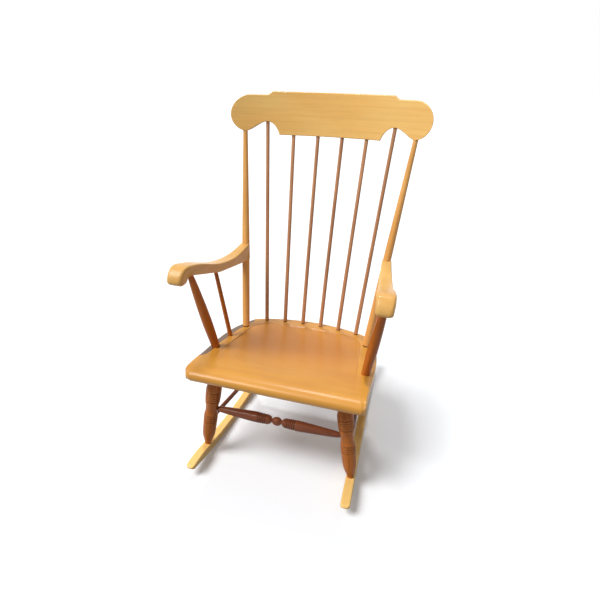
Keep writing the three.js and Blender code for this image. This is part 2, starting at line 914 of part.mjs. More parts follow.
function makeRocker() {
  const topRadius = rockerRadius - rockerThickness;
  const half = rockerLength / 2;
  const arcAngle = (radius, along) => Math.asin((along - rockerRestY) / radius) - quarterTurn;
  const underAngle = (along) => arcAngle(rockerRadius, along);
  const topAngle = (along) => arcAngle(topRadius, along);
  const arc = new THREE.Path();
  arc.absarc(rockerRestY, rockerRadius, rockerRadius, underAngle(rockerTipInset - half), -quarterTurn, false);
  arc.absarc(rockerRestY, rockerRadius, rockerRadius, -quarterTurn, underAngle(half - rockerTipInset), false);
  const rearTip = rockerTip(half, 1);
  const top = new THREE.Path();
  const rearTaper = topAngle(half - rockerTipTaper);
  const frontTaper = topAngle(rockerTipTaper - half);
  top.absarc(rockerRestY, rockerRadius, topRadius, rearTaper, frontTaper, true);
  const frontTip = rockerTip(-half, -1);
  const side = new THREE.Shape([
    ...arc.getPoints(rockerArcSegments),
    ...rearTip,
    ...top.getPoints(2 * rockerArcSegments),
    ...frontTip.reverse(),
  ]);
  const geometry = acrossX(side, rockerWidth, {
    bevelThickness: rockerEdgeRound,
    bevelSize: rockerEdgeRound,
    bevelOffset: -rockerEdgeRound,
    bevelSegments: 1,
  });
  const mesh = new THREE.Mesh(geometry, woodMaterial("honey"));
  mesh.name = "rocker";
  mesh.position.set(rockerGauge / 2, 0, 0);
  mesh.rotation.z = rockerToeIn;
  const sockets = [frontLegLine, rearLegLine].map((line) => (
    socket(line, legFootDiameter, legFootTenon, legSegments)
  ));
  cut(mesh, sockets);
  return mesh;
}

// A leg: the turned shaft is trimmed to the underside of the seat and gets a tenon there.
function makeLeg(name, line, stretcherSockets) {
  const turning = {
    diameter: legDiameter,
    shares: legShares.slice(0, -1),
    startTenon: legDiameter / 2,
    endTenon: legFootTenon,
    endDiameter: legFootDiameter,
    segments: legSegments,
  };
  const mesh = turnedPiece(name, line, turning, "walnut");
  const slab = new THREE.BoxGeometry(seatWidth, seatDepth, seatThickness);
  slab.translate(0, seatDepth / 2, -seatThickness / 2 - fitGap);
  slab.rotateX(-seatTilt);
  slab.translate(0, seatFrontY, seatFrontHeight);
  cut(mesh, [slab, ...stretcherSockets]);
  const tenon = rod(
    new THREE.Vector3(0, legDiameter / 2, 0),
    latheAxis.clone().negate(),
    legTenonDiameter / 2,
    legDiameter / 2 + legTenonLength,
    legSegments,
  );
  mesh.geometry = toGeometry(toSolid(mesh.geometry).add(toSolid(tenon)));
  return mesh;
}

const chair = new THREE.Group();
const leftSide = new THREE.Group();
leftSide.scale.x = -1;
chair.add(leftSide);

// Adds a right-hand piece and its mirrored twin, named after their sides.
function addPair(mesh, name) {
  const twin = mesh.clone();
  twin.material = mesh.material.clone();
  mesh.name = `${name}_right`;
  twin.name = `${name}_left`;
  chair.add(mesh);
  leftSide.add(twin);
}

chair.add(makeSeat());
chair.add(makeCrest());
addPair(turnedPiece("stile", stileLine, stileTurning, "amber"), "stile");
addPair(makeArm(), "arm");
addPair(turnedPiece("arm_post", postLine, postTurning, "walnut"), "arm_post");
addPair(turnedPiece("arm_spindle", armSpindleLine, armSpindleTurning, "walnut"), "arm_spindle");

// The back spindles are numbered from left to right.
spindleLines.forEach((line, place) => {
  const rightNumber = spindleLines.length + 1 + place;
  const leftNumber = spindleLines.length - place;
  chair.add(turnedPiece(`back_spindle_${rightNumber}`, line, spindleTurning, "amber"));
  chair.add(turnedPiece(`back_spindle_${leftNumber}`, mirroredLine(line), spindleTurning, "amber"));
});

const frontLegSockets = [
  endSocket(frontStretcherLine, frontStretcherTurning),
  startSocket(sideStretcherLine, dowelTurning),
];
const rearLegSockets = [
  endSocket(rearStretcherLine, dowelTurning),
  endSocket(sideStretcherLine, dowelTurning),
];
addPair(makeLeg("leg_front", frontLegLine, frontLegSockets), "leg_front");
addPair(makeLeg("leg_rear", rearLegLine, rearLegSockets), "leg_rear");
chair.add(turnedPiece("stretcher_front", frontStretcherLine, frontStretcherTurning, "walnut"));
chair.add(turnedPiece("stretcher_rear", rearStretcherLine, dowelTurning, "walnut"));
addPair(turnedPiece("stretcher_side", sideStretcherLine, dowelTurning, "walnut"), "stretcher_side");
addPair(makeRocker(), "rocker");

export default chair;
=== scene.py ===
# A boston rocking chair with a spindle back, dressed in lacquered wood.
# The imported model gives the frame. Lengths are in millimetres until a piece is made, then metres.

import math

import bmesh
import bpy
from mathutils import Matrix, Vector
from mathutils.kdtree import KDTree


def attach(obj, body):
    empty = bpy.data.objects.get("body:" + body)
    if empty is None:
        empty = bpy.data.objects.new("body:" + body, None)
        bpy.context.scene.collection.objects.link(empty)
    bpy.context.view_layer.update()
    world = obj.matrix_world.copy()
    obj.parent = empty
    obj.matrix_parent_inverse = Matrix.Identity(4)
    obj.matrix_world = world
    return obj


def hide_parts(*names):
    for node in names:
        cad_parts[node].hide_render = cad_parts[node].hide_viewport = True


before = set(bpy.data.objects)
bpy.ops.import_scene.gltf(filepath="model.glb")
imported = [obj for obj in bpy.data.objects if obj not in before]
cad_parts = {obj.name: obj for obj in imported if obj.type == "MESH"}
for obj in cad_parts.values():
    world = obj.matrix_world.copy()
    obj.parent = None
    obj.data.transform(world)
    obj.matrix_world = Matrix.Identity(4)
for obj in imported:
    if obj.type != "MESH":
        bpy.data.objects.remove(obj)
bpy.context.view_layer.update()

MM = 0.001

# Sizes. x runs to the right as seen from the front, y to the back, and heights are above the floor.
# Rows are (place, value) pairs. A turning's rows are shares of its length, from the start of its
# line, and of its diameter.

CHAIR_HEIGHT = 1065

# Rockers: bars bent to an arc, nearer to each other at the back, with thinner, rounded tips
ROCKER_LENGTH = 768
ROCKER_RADIUS = 1700
ROCKER_THICKNESS = 26
ROCKER_WIDTH = 27.5
ROCKER_GAUGE = 443
ROCKER_TOE_IN = math.radians(2.5)
ROCKER_REST_Y = -55
ROCKER_TIP_TAPER = 78
ROCKER_TIP_HEIGHT = 12
ROCKER_TIP_CURVE = 1.6
ROCKER_TIP_ROUND = 12
ROCKER_NOSE_ROUND = 10
ROCKER_NOSE_LEAST = 0.06
ROCKER_ROUND = 4
# Where it is thin, a rocker is rounded by its thickness over this
ROCKER_THIN_ROUND = 2.2

# The seat's board, in its own plane: x across, y back from the foremost point of its front
SEAT_FRONT_Y = -345
SEAT_FRONT_HEIGHT = 360.5
SEAT_TILT = math.radians(6)
SEAT_THICKNESS = 34
SEAT_WIDTH = 519
SEAT_DEPTH = 492
SEAT_NOSE = 13
# The front corners' radius on the right (1) and on the left (-1), where it is worn rounder
SEAT_CORNERS = {1: 10, -1: 23}
SEAT_SIDE_STRAIGHT = 190
SEAT_SIDE_PULL = 120
SEAT_SHOULDER_WIDTH = 394
SEAT_SHOULDER_DEPTH = 431
SEAT_SHOULDER_PULL = 60
SEAT_SHOULDER_TURN = math.radians(34)
SEAT_BACK_WIDTH = 386
SEAT_BACK_BOW = 46
# Rounded edges, as (how far in they reach, how far they drop)
SEAT_ROLL = (42, 21)
SEAT_UNDER_ROLL = (21, 21)
SEAT_EDGE_ROUND = (3, 3)
SEAT_ROLL_HANG = 8
SEAT_ROLL_END = 51
SEAT_RUBBED = 4
# The bands that slope down along the seat's sides, from behind its front to its shoulders
BAND_START = 104
BAND_WIDTH = 25
BAND_SLOPE = math.tan(math.radians(8))
BAND_SHARES = [
    (0, 0), (0.02, 0.45), (0.06, 0.75), (0.12, 0.92), (0.3, 0.92),
    (0.5, 1.1), (0.85, 1.1), (0.93, 0.85), (1, 0),
]
# The dish: a shallow bowl inside a scored line, starting softly over the width of its edge
DISH_DEPTH = 7.5
DISH_EDGE = 6
DISH_BOWL = (230, 200)
DISH_CENTRE = 284
DISH_FRONT = 84
DISH_FRONT_WIDTH = 440
DISH_BACK_WIDTH = 386
DISH_CORNER = 345
DISH_BACK = 435

# Crest rail: a bent board that leans back. Outlines are (out from the middle, up from below).
CREST_WIDTH = 640
CREST_HEIGHT = 134
CREST_THICKNESS = 20
CREST_RADIUS = 746
CREST_RECLINE = math.radians(13.5)
CREST_FRONT_Y = 258
CREST_EAR_RADIUS = 57
CREST_EAR_DROP = 9
CREST_EAR_END = math.radians(-80)
CREST_NOTCH_CORNER = 166
CREST_NOTCH_PEAK = (208.5, 41)
CREST_NOTCH_PULLS = ((171, 17), (186, 41), (230, 41), (255, 12.5))
CREST_STEP = ((216, 123), (206, 123), (203, 130), (196, 134))
CREST_ROUND = 2.5
# Painted shade: the crest rail's lower edge is darkened where the board's edge faces down, less so up round
# the ears
CREST_PAINTED_SHADE = [(0, 0.9), (20, 0.8), (42, 0.6), (60, 0)]
CREST_RUBBED = 5

# Uprights: where they enter the seat (x, y), and the crest rail or the arms above
STILE_SEAT = (211, 20)
STILE_CREST_X = 276
STILE_FORWARD = 1.5
STILE_DIAMETER = 25
STILE_TOP = 15
STILE_ROWS = [
    (0, 0.96), (0.08, 1), (0.44, 1), (0.6, 0.9), (0.8, 0.75), (1, STILE_TOP / STILE_DIAMETER),
]
SPINDLE_DIAMETER = 13.7
SPINDLE_PITCH = 65
SPINDLE_CREST_X = (40.5, 121.5, 208.5)
SPINDLE_ROW_Y = 120
SPINDLE_ROW_RADIUS = 658
SPINDLE_ROWS = [(0, 1), (0.25, 0.97), (0.5, 0.91), (0.8, 0.89), (1, 0.89)]
POST_SEAT = (236, -166)
POST_ARM_Y = -219
POST_OUTSET = 3
POST_DIAMETER = 30
POST_NECK = 15
POST_ROWS = [
    (0, 0.84), (0.15, 0.93), (0.35, 1), (0.55, 0.95), (0.75, 0.82), (0.9, 0.68),
    (1, POST_NECK / POST_DIAMETER),
]
ARM_SPINDLE_SEAT = (229, -73)
ARM_SPINDLE_ARM_Y = -92
ARM_SPINDLE_DIAMETER = 14.5
ARM_SPINDLE_TOP = 12.5
ARM_SPINDLE_ROWS = [(0, 1), (0.3, 0.98), (0.7, 0.92), (1, ARM_SPINDLE_TOP / ARM_SPINDLE_DIAMETER)]

# Arms, from the stile to the nose. The outlines of their top and underside are (share of the
# arm's length forwards, share of its rise).
ARM_FRONT = (278, -304.5)
ARM_REAR_FORWARD = 3
ARM_NOSE_Y = -275
ARM_LOWEST_TOP = 582
ARM_RISE = 62
ARM_WIDTH = 50
ARM_ROUND = [(0, 4), (0.5, 6), (0.75, 9), (1, 12)]
ARM_NOSE_NARROWING = [(0, 1), (0.84, 1), (0.94, 0.93), (1, 0.74)]
ARM_TOP_SHARES = [
    (0, 0.22), (0.12, 0.07), (0.25, 0), (0.39, 0.08), (0.52, 0.26), (0.64, 0.53), (0.75, 0.79),
    (0.84, 0.94), (0.89, 1), (0.93, 0.97), (0.965, 0.81), (0.988, 0.62), (0.998, 0.44),
    (0.99, 0.31), (0.966, 0.235),
]
ARM_UNDER_SHARES = [
    (0, -0.7), (0.1, -0.64), (0.22, -0.53), (0.36, -0.4), (0.49, -0.27), (0.58, -0.1),
    (0.715, 0.17), (0.79, 0.33), (0.835, 0.41), (0.86, 0.44), (0.876, 0.43), (0.886, 0.395),
    (0.893, 0.34), (0.902, 0.285), (0.92, 0.235),
]
ARM_WIDTH_SHARES = [
    (0, 0.6), (0.12, 0.68), (0.25, 0.78), (0.5, 0.85), (0.68, 0.86), (0.8, 0.95), (0.9, 1),
    (0.95, 0.96), (1, 0.9),
]
# The nose is closed by smaller sections, at these shares of the way out
ARM_CLOSING = (0.35, 0.7, 0.95)
ARM_CLOSING_IN = 0.9
ARM_CLOSING_OUT = 0.45

# Legs, from the seat down: where they enter the seat (x, y), and y on the rocker
LEG_DIAMETER = 47.5
LEG_FOOT_DIAMETER = 18
FRONT_LEG = (192.5, -260, -269)
REAR_LEG = (158, 35, 75)
LEG_ROWS = [
    (0, 0.76), (0.12, 0.78), (0.16, 0.85), (0.195, 0.95), (0.225, 1), (0.257, 1), (0.334, 0.985),
    (0.35, 0.97), (0.39, 0.93), (0.425, 0.86), (0.46, 0.81), (0.525, 0.79), (0.545, 0.86),
    (0.575, 0.9), (0.59, 0.91), (0.662, 0.9), (0.69, 0.885), (0.76, 0.88), (0.83, 0.84),
    (0.89, 0.72), (0.95, 0.52), (1, LEG_FOOT_DIAMETER / LEG_DIAMETER),
]
# Turned rings, as (start and end as shares of the piece's length, how many)
LEG_RINGS = [(0.243, 0.362, 4), (0.566, 0.655, 3)]
RING_DEPTH = 2.6
RING_SHARPNESS = 0.45

# Stretchers. The front one has a ball in the middle, and its rows run from there to either end.
FRONT_STRETCHER_HEIGHT = 184.5
FRONT_STRETCHER_DIAMETER = 32
STRETCHER_END = 12
STRETCHER_HALF_ROWS = [
    (0, 0.81), (0.03, 0.77), (0.055, 0.62), (0.072, 0.4), (0.085, 0.4), (0.1, 0.68), (0.13, 0.86),
    (0.14, 0.9), (0.31, 1), (0.33, 1), (0.45, 0.95), (0.7, 0.78), (0.88, 0.64), (0.95, 0.55),
    (1, STRETCHER_END / FRONT_STRETCHER_DIAMETER),
]
STRETCHER_HALF_RINGS = (0.15, 0.29, 5)
DOWEL_DIAMETER = 14
DOWEL_ROWS = [(0, 0.86), (0.05, 1), (0.95, 1), (1, STRETCHER_END / DOWEL_DIAMETER)]
SIDE_STRETCHER_HEIGHTS = (137, 106)
REAR_STRETCHER_HEIGHT = 130
# A stretcher shows from this share of a leg's diameter beside the leg's axis
STRETCHER_START = 0.4

# How far the turned pieces run on into what holds them, and the width of the dark line painted where they
# enter it, as painted contact shadow
TENON = 12
JOINT_LINE = 3
# Each turned piece is cut from another part of the plank, this far across and into it
PLANK_SHIFT = (37, 19)

# Fineness: steps along curves, distances between points, and how far these bunch at the ends
AROUND = 48
TURNING_STEP = 3
RING_STEP = 0.6
SECTION_CORNER_STEPS = 6
SECTION_FLAT_STEPS = 5
SECTION_LEAST_FLAT = 0.2
SEAT_GRID = (170, 150)
SEAT_BUNCHING = (0.75, 0.6)
SEAT_CORNER_STEPS = 8
SEAT_SIDE_STEPS = 40
SEAT_BACK_STEPS = 30
SEAT_OUTLINE_GAP = 1.5
CREST_GRID = (300, 60)
CREST_BUNCHING = 0.7
CREST_NOTCH_STEPS = 20
CREST_STEP_STEPS = 14
CREST_EAR_STEPS = 32
CREST_OUTLINE_GAP = 1
# Columns of the crest rail's grid, as (share of them, how far out it stands), up to the ear
CREST_COLUMNS = [(0, 0), (0.22, 160), (0.56, 218), (0.72, 263)]
ARM_STATIONS = 90
ROCKER_STATIONS = 120
ROCKER_BUNCHING = 0.9
# Points nearer to each other than this become one, on a skin and on the sheets' seams
POINT_MERGE = 0.001
SEAM_MERGE = 0.01


# Curves

def mix(low, high, share):
    return low + (high - low) * share


def clamped(share):
    return min(max(share, 0), 1)


def dome(share):
    """The height of a quarter circle at a share of the way in from its foot."""
    return math.sqrt(max(1 - (1 - share) ** 2, 0))


def value_at(rows, place):
    """The value at a place in rows of (place, value), straight between the rows."""
    for (from_place, from_value), (to_place, to_value) in zip(rows, rows[1:]):
        if place <= to_place:
            break
    return mix(from_value, to_value, clamped((place - from_place) / (to_place - from_place)))


def smooth_at(rows, place):
    """The same, on a curve that runs smoothly through the rows and never overshoots them."""
    last = len(rows) - 2
    part = min(max(i for i in range(len(rows)) if rows[i][0] <= place or i == 0), last)
    slopes = []
    for i in (part, part + 1):
        if 0 < i <= last:
            before = (rows[i][1] - rows[i - 1][1]) / (rows[i][0] - rows[i - 1][0])
            after = (rows[i + 1][1] - rows[i][1]) / (rows[i + 1][0] - rows[i][0])
            slopes.append(0 if before * after <= 0 else 2 * before * after / (before + after))
        else:
            slopes.append((rows[part + 1][1] - rows[part][1]) / (rows[part + 1][0] - rows[part][0]))
    width = rows[part + 1][0] - rows[part][0]
    t = clamped((place - rows[part][0]) / width)
    start, end = rows[part][1], rows[part + 1][1]
    return (
        start * (1 + 2 * t) * (1 - t) ** 2
        + slopes[0] * width * t * (1 - t) ** 2
        + end * t * t * (3 - 2 * t)
        + slopes[1] * width * t * t * (t - 1)
    )


def bezier(a, b, c, d, steps):
    points = []
    for i in range(steps + 1):
        t = i / steps
        points.append(tuple(
            p * (1 - t) ** 3 + 3 * q * t * (1 - t) ** 2 + 3 * r * t * t * (1 - t) + s * t ** 3
            for p, q, r, s in zip(a, b, c, d)
        ))
    return points


def arc(centre, radius, start, end, steps):
    return [
        (centre[0] + radius * math.cos(mix(start, end, i / steps)),
         centre[1] + radius * math.sin(mix(start, end, i / steps)))
        for i in range(steps + 1)
    ]


def along(points, share):
    """The point at a share of a line's length."""
    lengths = [math.dist(a, b) for a, b in zip(points, points[1:])]
    left = share * sum(lengths)
    for (a, b), length in zip(zip(points, points[1:]), lengths):
        if left <= length:
            return (mix(a[0], b[0], left / length), mix(a[1], b[1], left / length))
        left -= length
    return points[-1]


def bunched(share, pull):
    """A share moved towards the nearer end, so that a sheet is finest along its edges."""
    return share - pull * math.sin(2 * math.pi * share) / (2 * math.pi)


def other_side(line):
    return [(-x, y) for x, y in line]


def spline_point(points, share):
    """A point on a smooth curve through points, at a share of their count."""
    place = share * (len(points) - 1)
    part = min(int(place), len(points) - 2)
    t = place - part
    near = [points[min(max(i, 0), len(points) - 1)] for i in range(part - 1, part + 3)]
    return tuple(
        0.5 * (2 * b + (c - a) * t + (2 * a - 5 * b + 4 * c - d) * t * t + (3 * b - a - 3 * c + d) * t ** 3)
        for a, b, c, d in zip(*near)
    )


def distance_to(lines, gap):
    """A function that measures how far a place is from lines, by points a gap apart on them."""
    points = []
    for line in lines:
        count = round(sum(math.dist(a, b) for a, b in zip(line, line[1:])) / gap)
        points += [along(line, i / count) for i in range(count + 1)]
    tree = KDTree(len(points))
    for i, point in enumerate(points):
        tree.insert((*point, 0), i)
    tree.balance()
    return lambda x, y: tree.find((x, y, 0))[2]


def roll(distance, size):
    """How far a rounded edge drops at a distance from it."""
    reach, drop = size
    return drop * (1 - dome(distance / reach)) if distance < reach else 0


# Where things stand

def seat_top(y):
    return SEAT_FRONT_HEIGHT - math.tan(SEAT_TILT) * (y - SEAT_FRONT_Y)


def seat_under(y):
    return seat_top(y) - SEAT_THICKNESS / math.cos(SEAT_TILT)


def rocker_x(y):
    return ROCKER_GAUGE / 2 - math.tan(ROCKER_TOE_IN) * y


def rocker_arc(radius, place):
    """The height of the rocker's upper or lower arc at a place along it."""
    return ROCKER_RADIUS - math.sqrt(radius ** 2 - (place - ROCKER_REST_Y) ** 2)


def rocker_top(y):
    return rocker_arc(ROCKER_RADIUS - ROCKER_THICKNESS, y / math.cos(ROCKER_TOE_IN))


def crest_bow(x):
    """How far forwards the middle of the crest rail's board has bent at x."""
    radius = CREST_RADIUS + CREST_THICKNESS / 2
    return radius - math.sqrt(radius ** 2 - x ** 2)


def crest_edges():
    """The crest rail's right half: its lower edge out to the ear's end, and its upper edge."""
    ear = (CREST_WIDTH / 2 - CREST_EAR_RADIUS, CREST_EAR_DROP + CREST_EAR_RADIUS)
    first, second, third, fourth = CREST_NOTCH_PULLS
    ear_arc = arc(ear, CREST_EAR_RADIUS, CREST_EAR_END, 0, CREST_EAR_STEPS)
    corner = (CREST_NOTCH_CORNER, 0)
    lower = [(0, 0)] + bezier(corner, first, second, CREST_NOTCH_PEAK, CREST_NOTCH_STEPS)
    lower += bezier(CREST_NOTCH_PEAK, third, fourth, ear_arc[0], CREST_NOTCH_STEPS)[1:] + ear_arc[1:]
    upper = [(0, CREST_HEIGHT)] + bezier(*reversed(CREST_STEP), CREST_STEP_STEPS)
    upper += arc(ear, CREST_EAR_RADIUS, math.pi / 2, 0, CREST_EAR_STEPS)
    return lower, upper


CREST_LOWER, CREST_UPPER = crest_edges()
CREST_BOTTOM = CHAIR_HEIGHT - CREST_HEIGHT * math.cos(CREST_RECLINE)


def crest_entry(x):
    """The middle of the crest rail's lower edge at x."""
    rise = value_at(CREST_LOWER, x) * math.cos(CREST_RECLINE)
    middle = CREST_FRONT_Y + CREST_THICKNESS / 2
    return Vector((x, middle - crest_bow(x) + math.tan(CREST_RECLINE) * rise, CREST_BOTTOM + rise))


def seat_entry(x, y):
    return Vector((x, y, seat_top(y)))


def at_height(line, height):
    start, end = line
    return start.lerp(end, (height - start.z) / (end.z - start.z))


STILE_LINE = (seat_entry(*STILE_SEAT), crest_entry(STILE_CREST_X) - Vector((0, STILE_FORWARD, 0)))
ARM_REAR = at_height(STILE_LINE, ARM_LOWEST_TOP + ARM_RISE * ARM_TOP_SHARES[0][1])
ARM_REAR -= Vector((0, ARM_REAR_FORWARD, 0))
ARM_LENGTH = ARM_REAR.y - ARM_FRONT[1]


def arm_point(share):
    return (ARM_REAR.y - share[0] * ARM_LENGTH, ARM_LOWEST_TOP + share[1] * ARM_RISE)


def arm_centre(y):
    """The x of the arm's middle: outwards from the stile, and straight forwards at the nose."""
    return value_at([(-ARM_REAR.y, ARM_REAR.x), (-ARM_NOSE_Y, ARM_FRONT[0])], -y)


def arm_entry(y):
    """The middle of the arm's underside at y."""
    share = (ARM_REAR.y - y) / ARM_LENGTH
    return Vector((arm_centre(y), y, ARM_LOWEST_TOP + smooth_at(ARM_UNDER_SHARES, share) * ARM_RISE))


def leg_line(top_x, top_y, foot_y):
    return (
        Vector((top_x, top_y, seat_under(top_y))),
        Vector((rocker_x(foot_y), foot_y, rocker_top(foot_y))),
    )


def mirrored(line):
    return tuple(Vector((-point.x, point.y, point.z)) for point in line)


FRONT_LEG_LINE = leg_line(*FRONT_LEG)
REAR_LEG_LINE = leg_line(*REAR_LEG)
POST_LINE = (seat_entry(*POST_SEAT), arm_entry(POST_ARM_Y) + Vector((POST_OUTSET, 0, 0)))
ARM_SPINDLE_LINE = (seat_entry(*ARM_SPINDLE_SEAT), arm_entry(ARM_SPINDLE_ARM_Y))


def spindle_line(place):
    """A back spindle on the right, counted outwards from 0. They enter the seat in a bowed row."""
    seat_x = (place + 0.5) * SPINDLE_PITCH
    bow = SPINDLE_ROW_RADIUS - math.sqrt(SPINDLE_ROW_RADIUS ** 2 - seat_x ** 2)
    return (seat_entry(seat_x, SPINDLE_ROW_Y - bow), crest_entry(SPINDLE_CREST_X[place]))


def stretcher_line(from_leg, from_height, to_leg, to_height):
    start, end = at_height(from_leg, from_height), at_height(to_leg, to_height)
    direction = (end - start).normalized()
    reach = LEG_DIAMETER * STRETCHER_START
    return (start + direction * reach, end - direction * reach)


SIDE_STRETCHER_LINE = stretcher_line(
    FRONT_LEG_LINE, SIDE_STRETCHER_HEIGHTS[0], REAR_LEG_LINE, SIDE_STRETCHER_HEIGHTS[1],
)
FRONT_STRETCHER_LINE = stretcher_line(
    mirrored(FRONT_LEG_LINE), FRONT_STRETCHER_HEIGHT, FRONT_LEG_LINE, FRONT_STRETCHER_HEIGHT,
)
REAR_STRETCHER_LINE = stretcher_line(
    mirrored(REAR_LEG_LINE), REAR_STRETCHER_HEIGHT, REAR_LEG_LINE, REAR_STRETCHER_HEIGHT,
)


# Making pieces

def mark(bm, grain_at, **values):
    """Gives each vertex its place in its own plank, with the grain's direction last, and named values."""
    bm.verts.layers.float_vector.new("grain")
    for name in values:
        bm.verts.layers.float.new(name)
    grain = bm.verts.layers.float_vector["grain"]
    layers = {name: bm.verts.layers.float[name] for name in values}
    for vert in bm.verts:
        vert[grain] = Vector(grain_at(vert.co)) * MM
        for name, layer in layers.items():
            vert[layer] = values[name](vert)


def finish_piece(name, bm, node, slot, material):
    """Turns a bmesh in millimetres into a piece of the chair that stands for a node."""
    mesh = bpy.data.meshes.new(name)
    for face in bm.faces:
        face.smooth = True
    bm.to_mesh(mesh)
    bm.free()
    mesh.transform(Matrix.Diagonal((MM, MM, MM, 1)))
    piece = bpy.data.objects.new(name, mesh)
    bpy.context.scene.collection.objects.link(piece)
    mesh.materials.append(material)
    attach(piece, "root")
    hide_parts(node)


def tube(sections):
    """A closed skin through sections of the same number of points, each end filled."""
    around, stations = len(sections[0]), len(sections)
    bm = bmesh.new()
    bmesh.ops.create_grid(bm, x_segments=around, y_segments=stations - 1, size=1)
    for vert in bm.verts:
        column = round((vert.co.x + 1) / 2 * around) % around
        row = round((vert.co.y + 1) / 2 * (stations - 1))
        vert.co = sections[row][column]
    bmesh.ops.remove_doubles(bm, verts=bm.verts, dist=POINT_MERGE)
    bmesh.ops.holes_fill(bm, edges=[edge for edge in bm.edges if edge.is_boundary], sides=0)
    bmesh.ops.recalc_face_normals(bm, faces=bm.faces)
    return bm


def rounded_section(width, thickness, radius):
    """Points round a rounded rectangle, as (across, up): each corner, then the flat after it."""
    radius = min(radius, width / 2 - SECTION_LEAST_FLAT, thickness / 2 - SECTION_LEAST_FLAT)
    corners = []
    for turn, (across, up) in enumerate(((1, 1), (-1, 1), (-1, -1), (1, -1))):
        centre = (across * (width / 2 - radius), up * (thickness / 2 - radius))
        start, end = turn * math.pi / 2, (turn + 1) * math.pi / 2
        corners.append(arc(centre, radius, start, end, SECTION_CORNER_STEPS))
    points = []
    for corner, following in zip(corners, corners[1:] + corners[:1]):
        points += corner
        (from_x, from_y), (to_x, to_y) = corner[-1], following[0]
        shares = [i / SECTION_FLAT_STEPS for i in range(1, SECTION_FLAT_STEPS)]
        points += [(mix(from_x, to_x, share), mix(from_y, to_y, share)) for share in shares]
    return points


def bent_bar(stations):
    """Sections of a bent bar. A station is (top (y, z), under (y, z), centre x, width, rounding)."""
    sections = []
    for top, under, centre_x, width, rounding in stations:
        middle = Vector((centre_x, (top[0] + under[0]) / 2, (top[1] + under[1]) / 2))
        up = Vector((0, top[0] - under[0], top[1] - under[1]))
        section = rounded_section(width, up.length, rounding)
        up.normalize()
        sections.append([middle + Vector((across, 0, 0)) + up * rise for across, rise in section])
    return sections


def paired_sheets(grid, facts_at):
    """Two sheets over one grid, joined round their edge. facts_at(s, t, on_rim) gives a vertex's
    facts: its place on the "top" and on the "under" sheet, and what is marked on it later."""
    bm = bmesh.new()
    bmesh.ops.create_grid(bm, x_segments=grid[0], y_segments=grid[1], size=1)
    copied = bmesh.ops.duplicate(bm, geom=bm.verts[:] + bm.edges[:] + bm.faces[:])["geom"]
    under = {item for item in copied if isinstance(item, bmesh.types.BMVert)}
    bm.verts.index_update()
    facts = [facts_at((vert.co.x + 1) / 2, (vert.co.y + 1) / 2, vert.is_boundary) for vert in bm.verts]
    rims = [edge for edge in bm.edges if edge.is_boundary]
    for vert, fact in zip(bm.verts, facts):
        vert.co = fact["under" if vert in under else "top"]
    bmesh.ops.bridge_loops(bm, edges=rims)
    return bm, facts


def close_sheets(bm):
    bmesh.ops.remove_doubles(bm, verts=bm.verts, dist=SEAM_MERGE)
    bmesh.ops.recalc_face_normals(bm, faces=bm.faces)


# Turned pieces

def ring_cut(share, rings):
    """How deep the turned rings cut at a share of a piece's length, as a share of their depth."""
    start, end, count = rings
    if not start <= share <= end:
        return 0
    phase = (share - start) / (end - start) * count
    return 1 - abs(math.sin(math.pi * phase)) ** RING_SHARPNESS


def turned_profile(length, rows, diameter, rings):
    """A turning's half profile, tenons included, as (place along it, radius, how deep a ring cuts)."""
    count = round(length / TURNING_STEP)
    stops = {0.0, length}
    stops.update(length * i / count for i in range(count + 1))
    for start, end, _ in rings:
        fine = round((end - start) * length / RING_STEP)
        stops.update(length * mix(start, end, i / fine) for i in range(fine + 1))
    profile = [(-TENON, rows[0][1] * diameter / 2, 0)]
    for place in sorted(stops):
        cut = sum(ring_cut(place / length, ring) for ring in rings)
        profile.append((place, smooth_at(rows, place / length) * diameter / 2 - RING_DEPTH * cut, cut))
    profile.append((length + TENON, profile[-1][1], 0))
    return profile


def spun(profile):
    """A solid with an upright axis, from its half profile."""
    bm = bmesh.new()
    chain = [bm.verts.new((0, 0, profile[0][0]))]
    chain += [bm.verts.new((radius, 0, place)) for place, radius, _ in profile]
    chain.append(bm.verts.new((0, 0, profile[-1][0])))
    edges = [bm.edges.new(pair) for pair in zip(chain, chain[1:])]
    bmesh.ops.spin(
        bm, geom=chain + edges, cent=(0, 0, 0), axis=(0, 0, 1),
        angle=2 * math.pi, steps=AROUND, use_merge=True,
    )
    bmesh.ops.remove_doubles(bm, verts=bm.verts, dist=POINT_MERGE)
    bmesh.ops.recalc_face_normals(bm, faces=bm.faces)
    return bm


def turned_piece(name, line, rows, diameter, slot, material, rings=(), plank=0):
    """A turned piece along a line, with rounded rings and a tenon at each end."""
    start, end = line
    length = (end - start).length
    profile = turned_profile(length, rows, diameter, rings)
    bm = spun(profile)
    grooves = [(place, cut) for place, _, cut in profile]

    # Dark glaze in the turned grooves, and painted shade as a contact shadow at each end, where the piece
    # enters what holds it
    def darkness(vert):
        joint = 1 - min(vert.co.z, length - vert.co.z) / JOINT_LINE
        return -max(value_at(grooves, vert.co.z), clamped(joint))

    across, deep = plank * PLANK_SHIFT[0], plank * PLANK_SHIFT[1]
    mark(bm, lambda place: (place.x + across, place.y + deep, place.z), worn=darkness)
    turn = Vector((0, 0, 1)).rotation_difference(end - start).to_matrix().to_4x4()
    bmesh.ops.transform(bm, matrix=Matrix.Translation(start) @ turn, verts=bm.verts)
    finish_piece("turned_" + name, bm, name, slot, material)


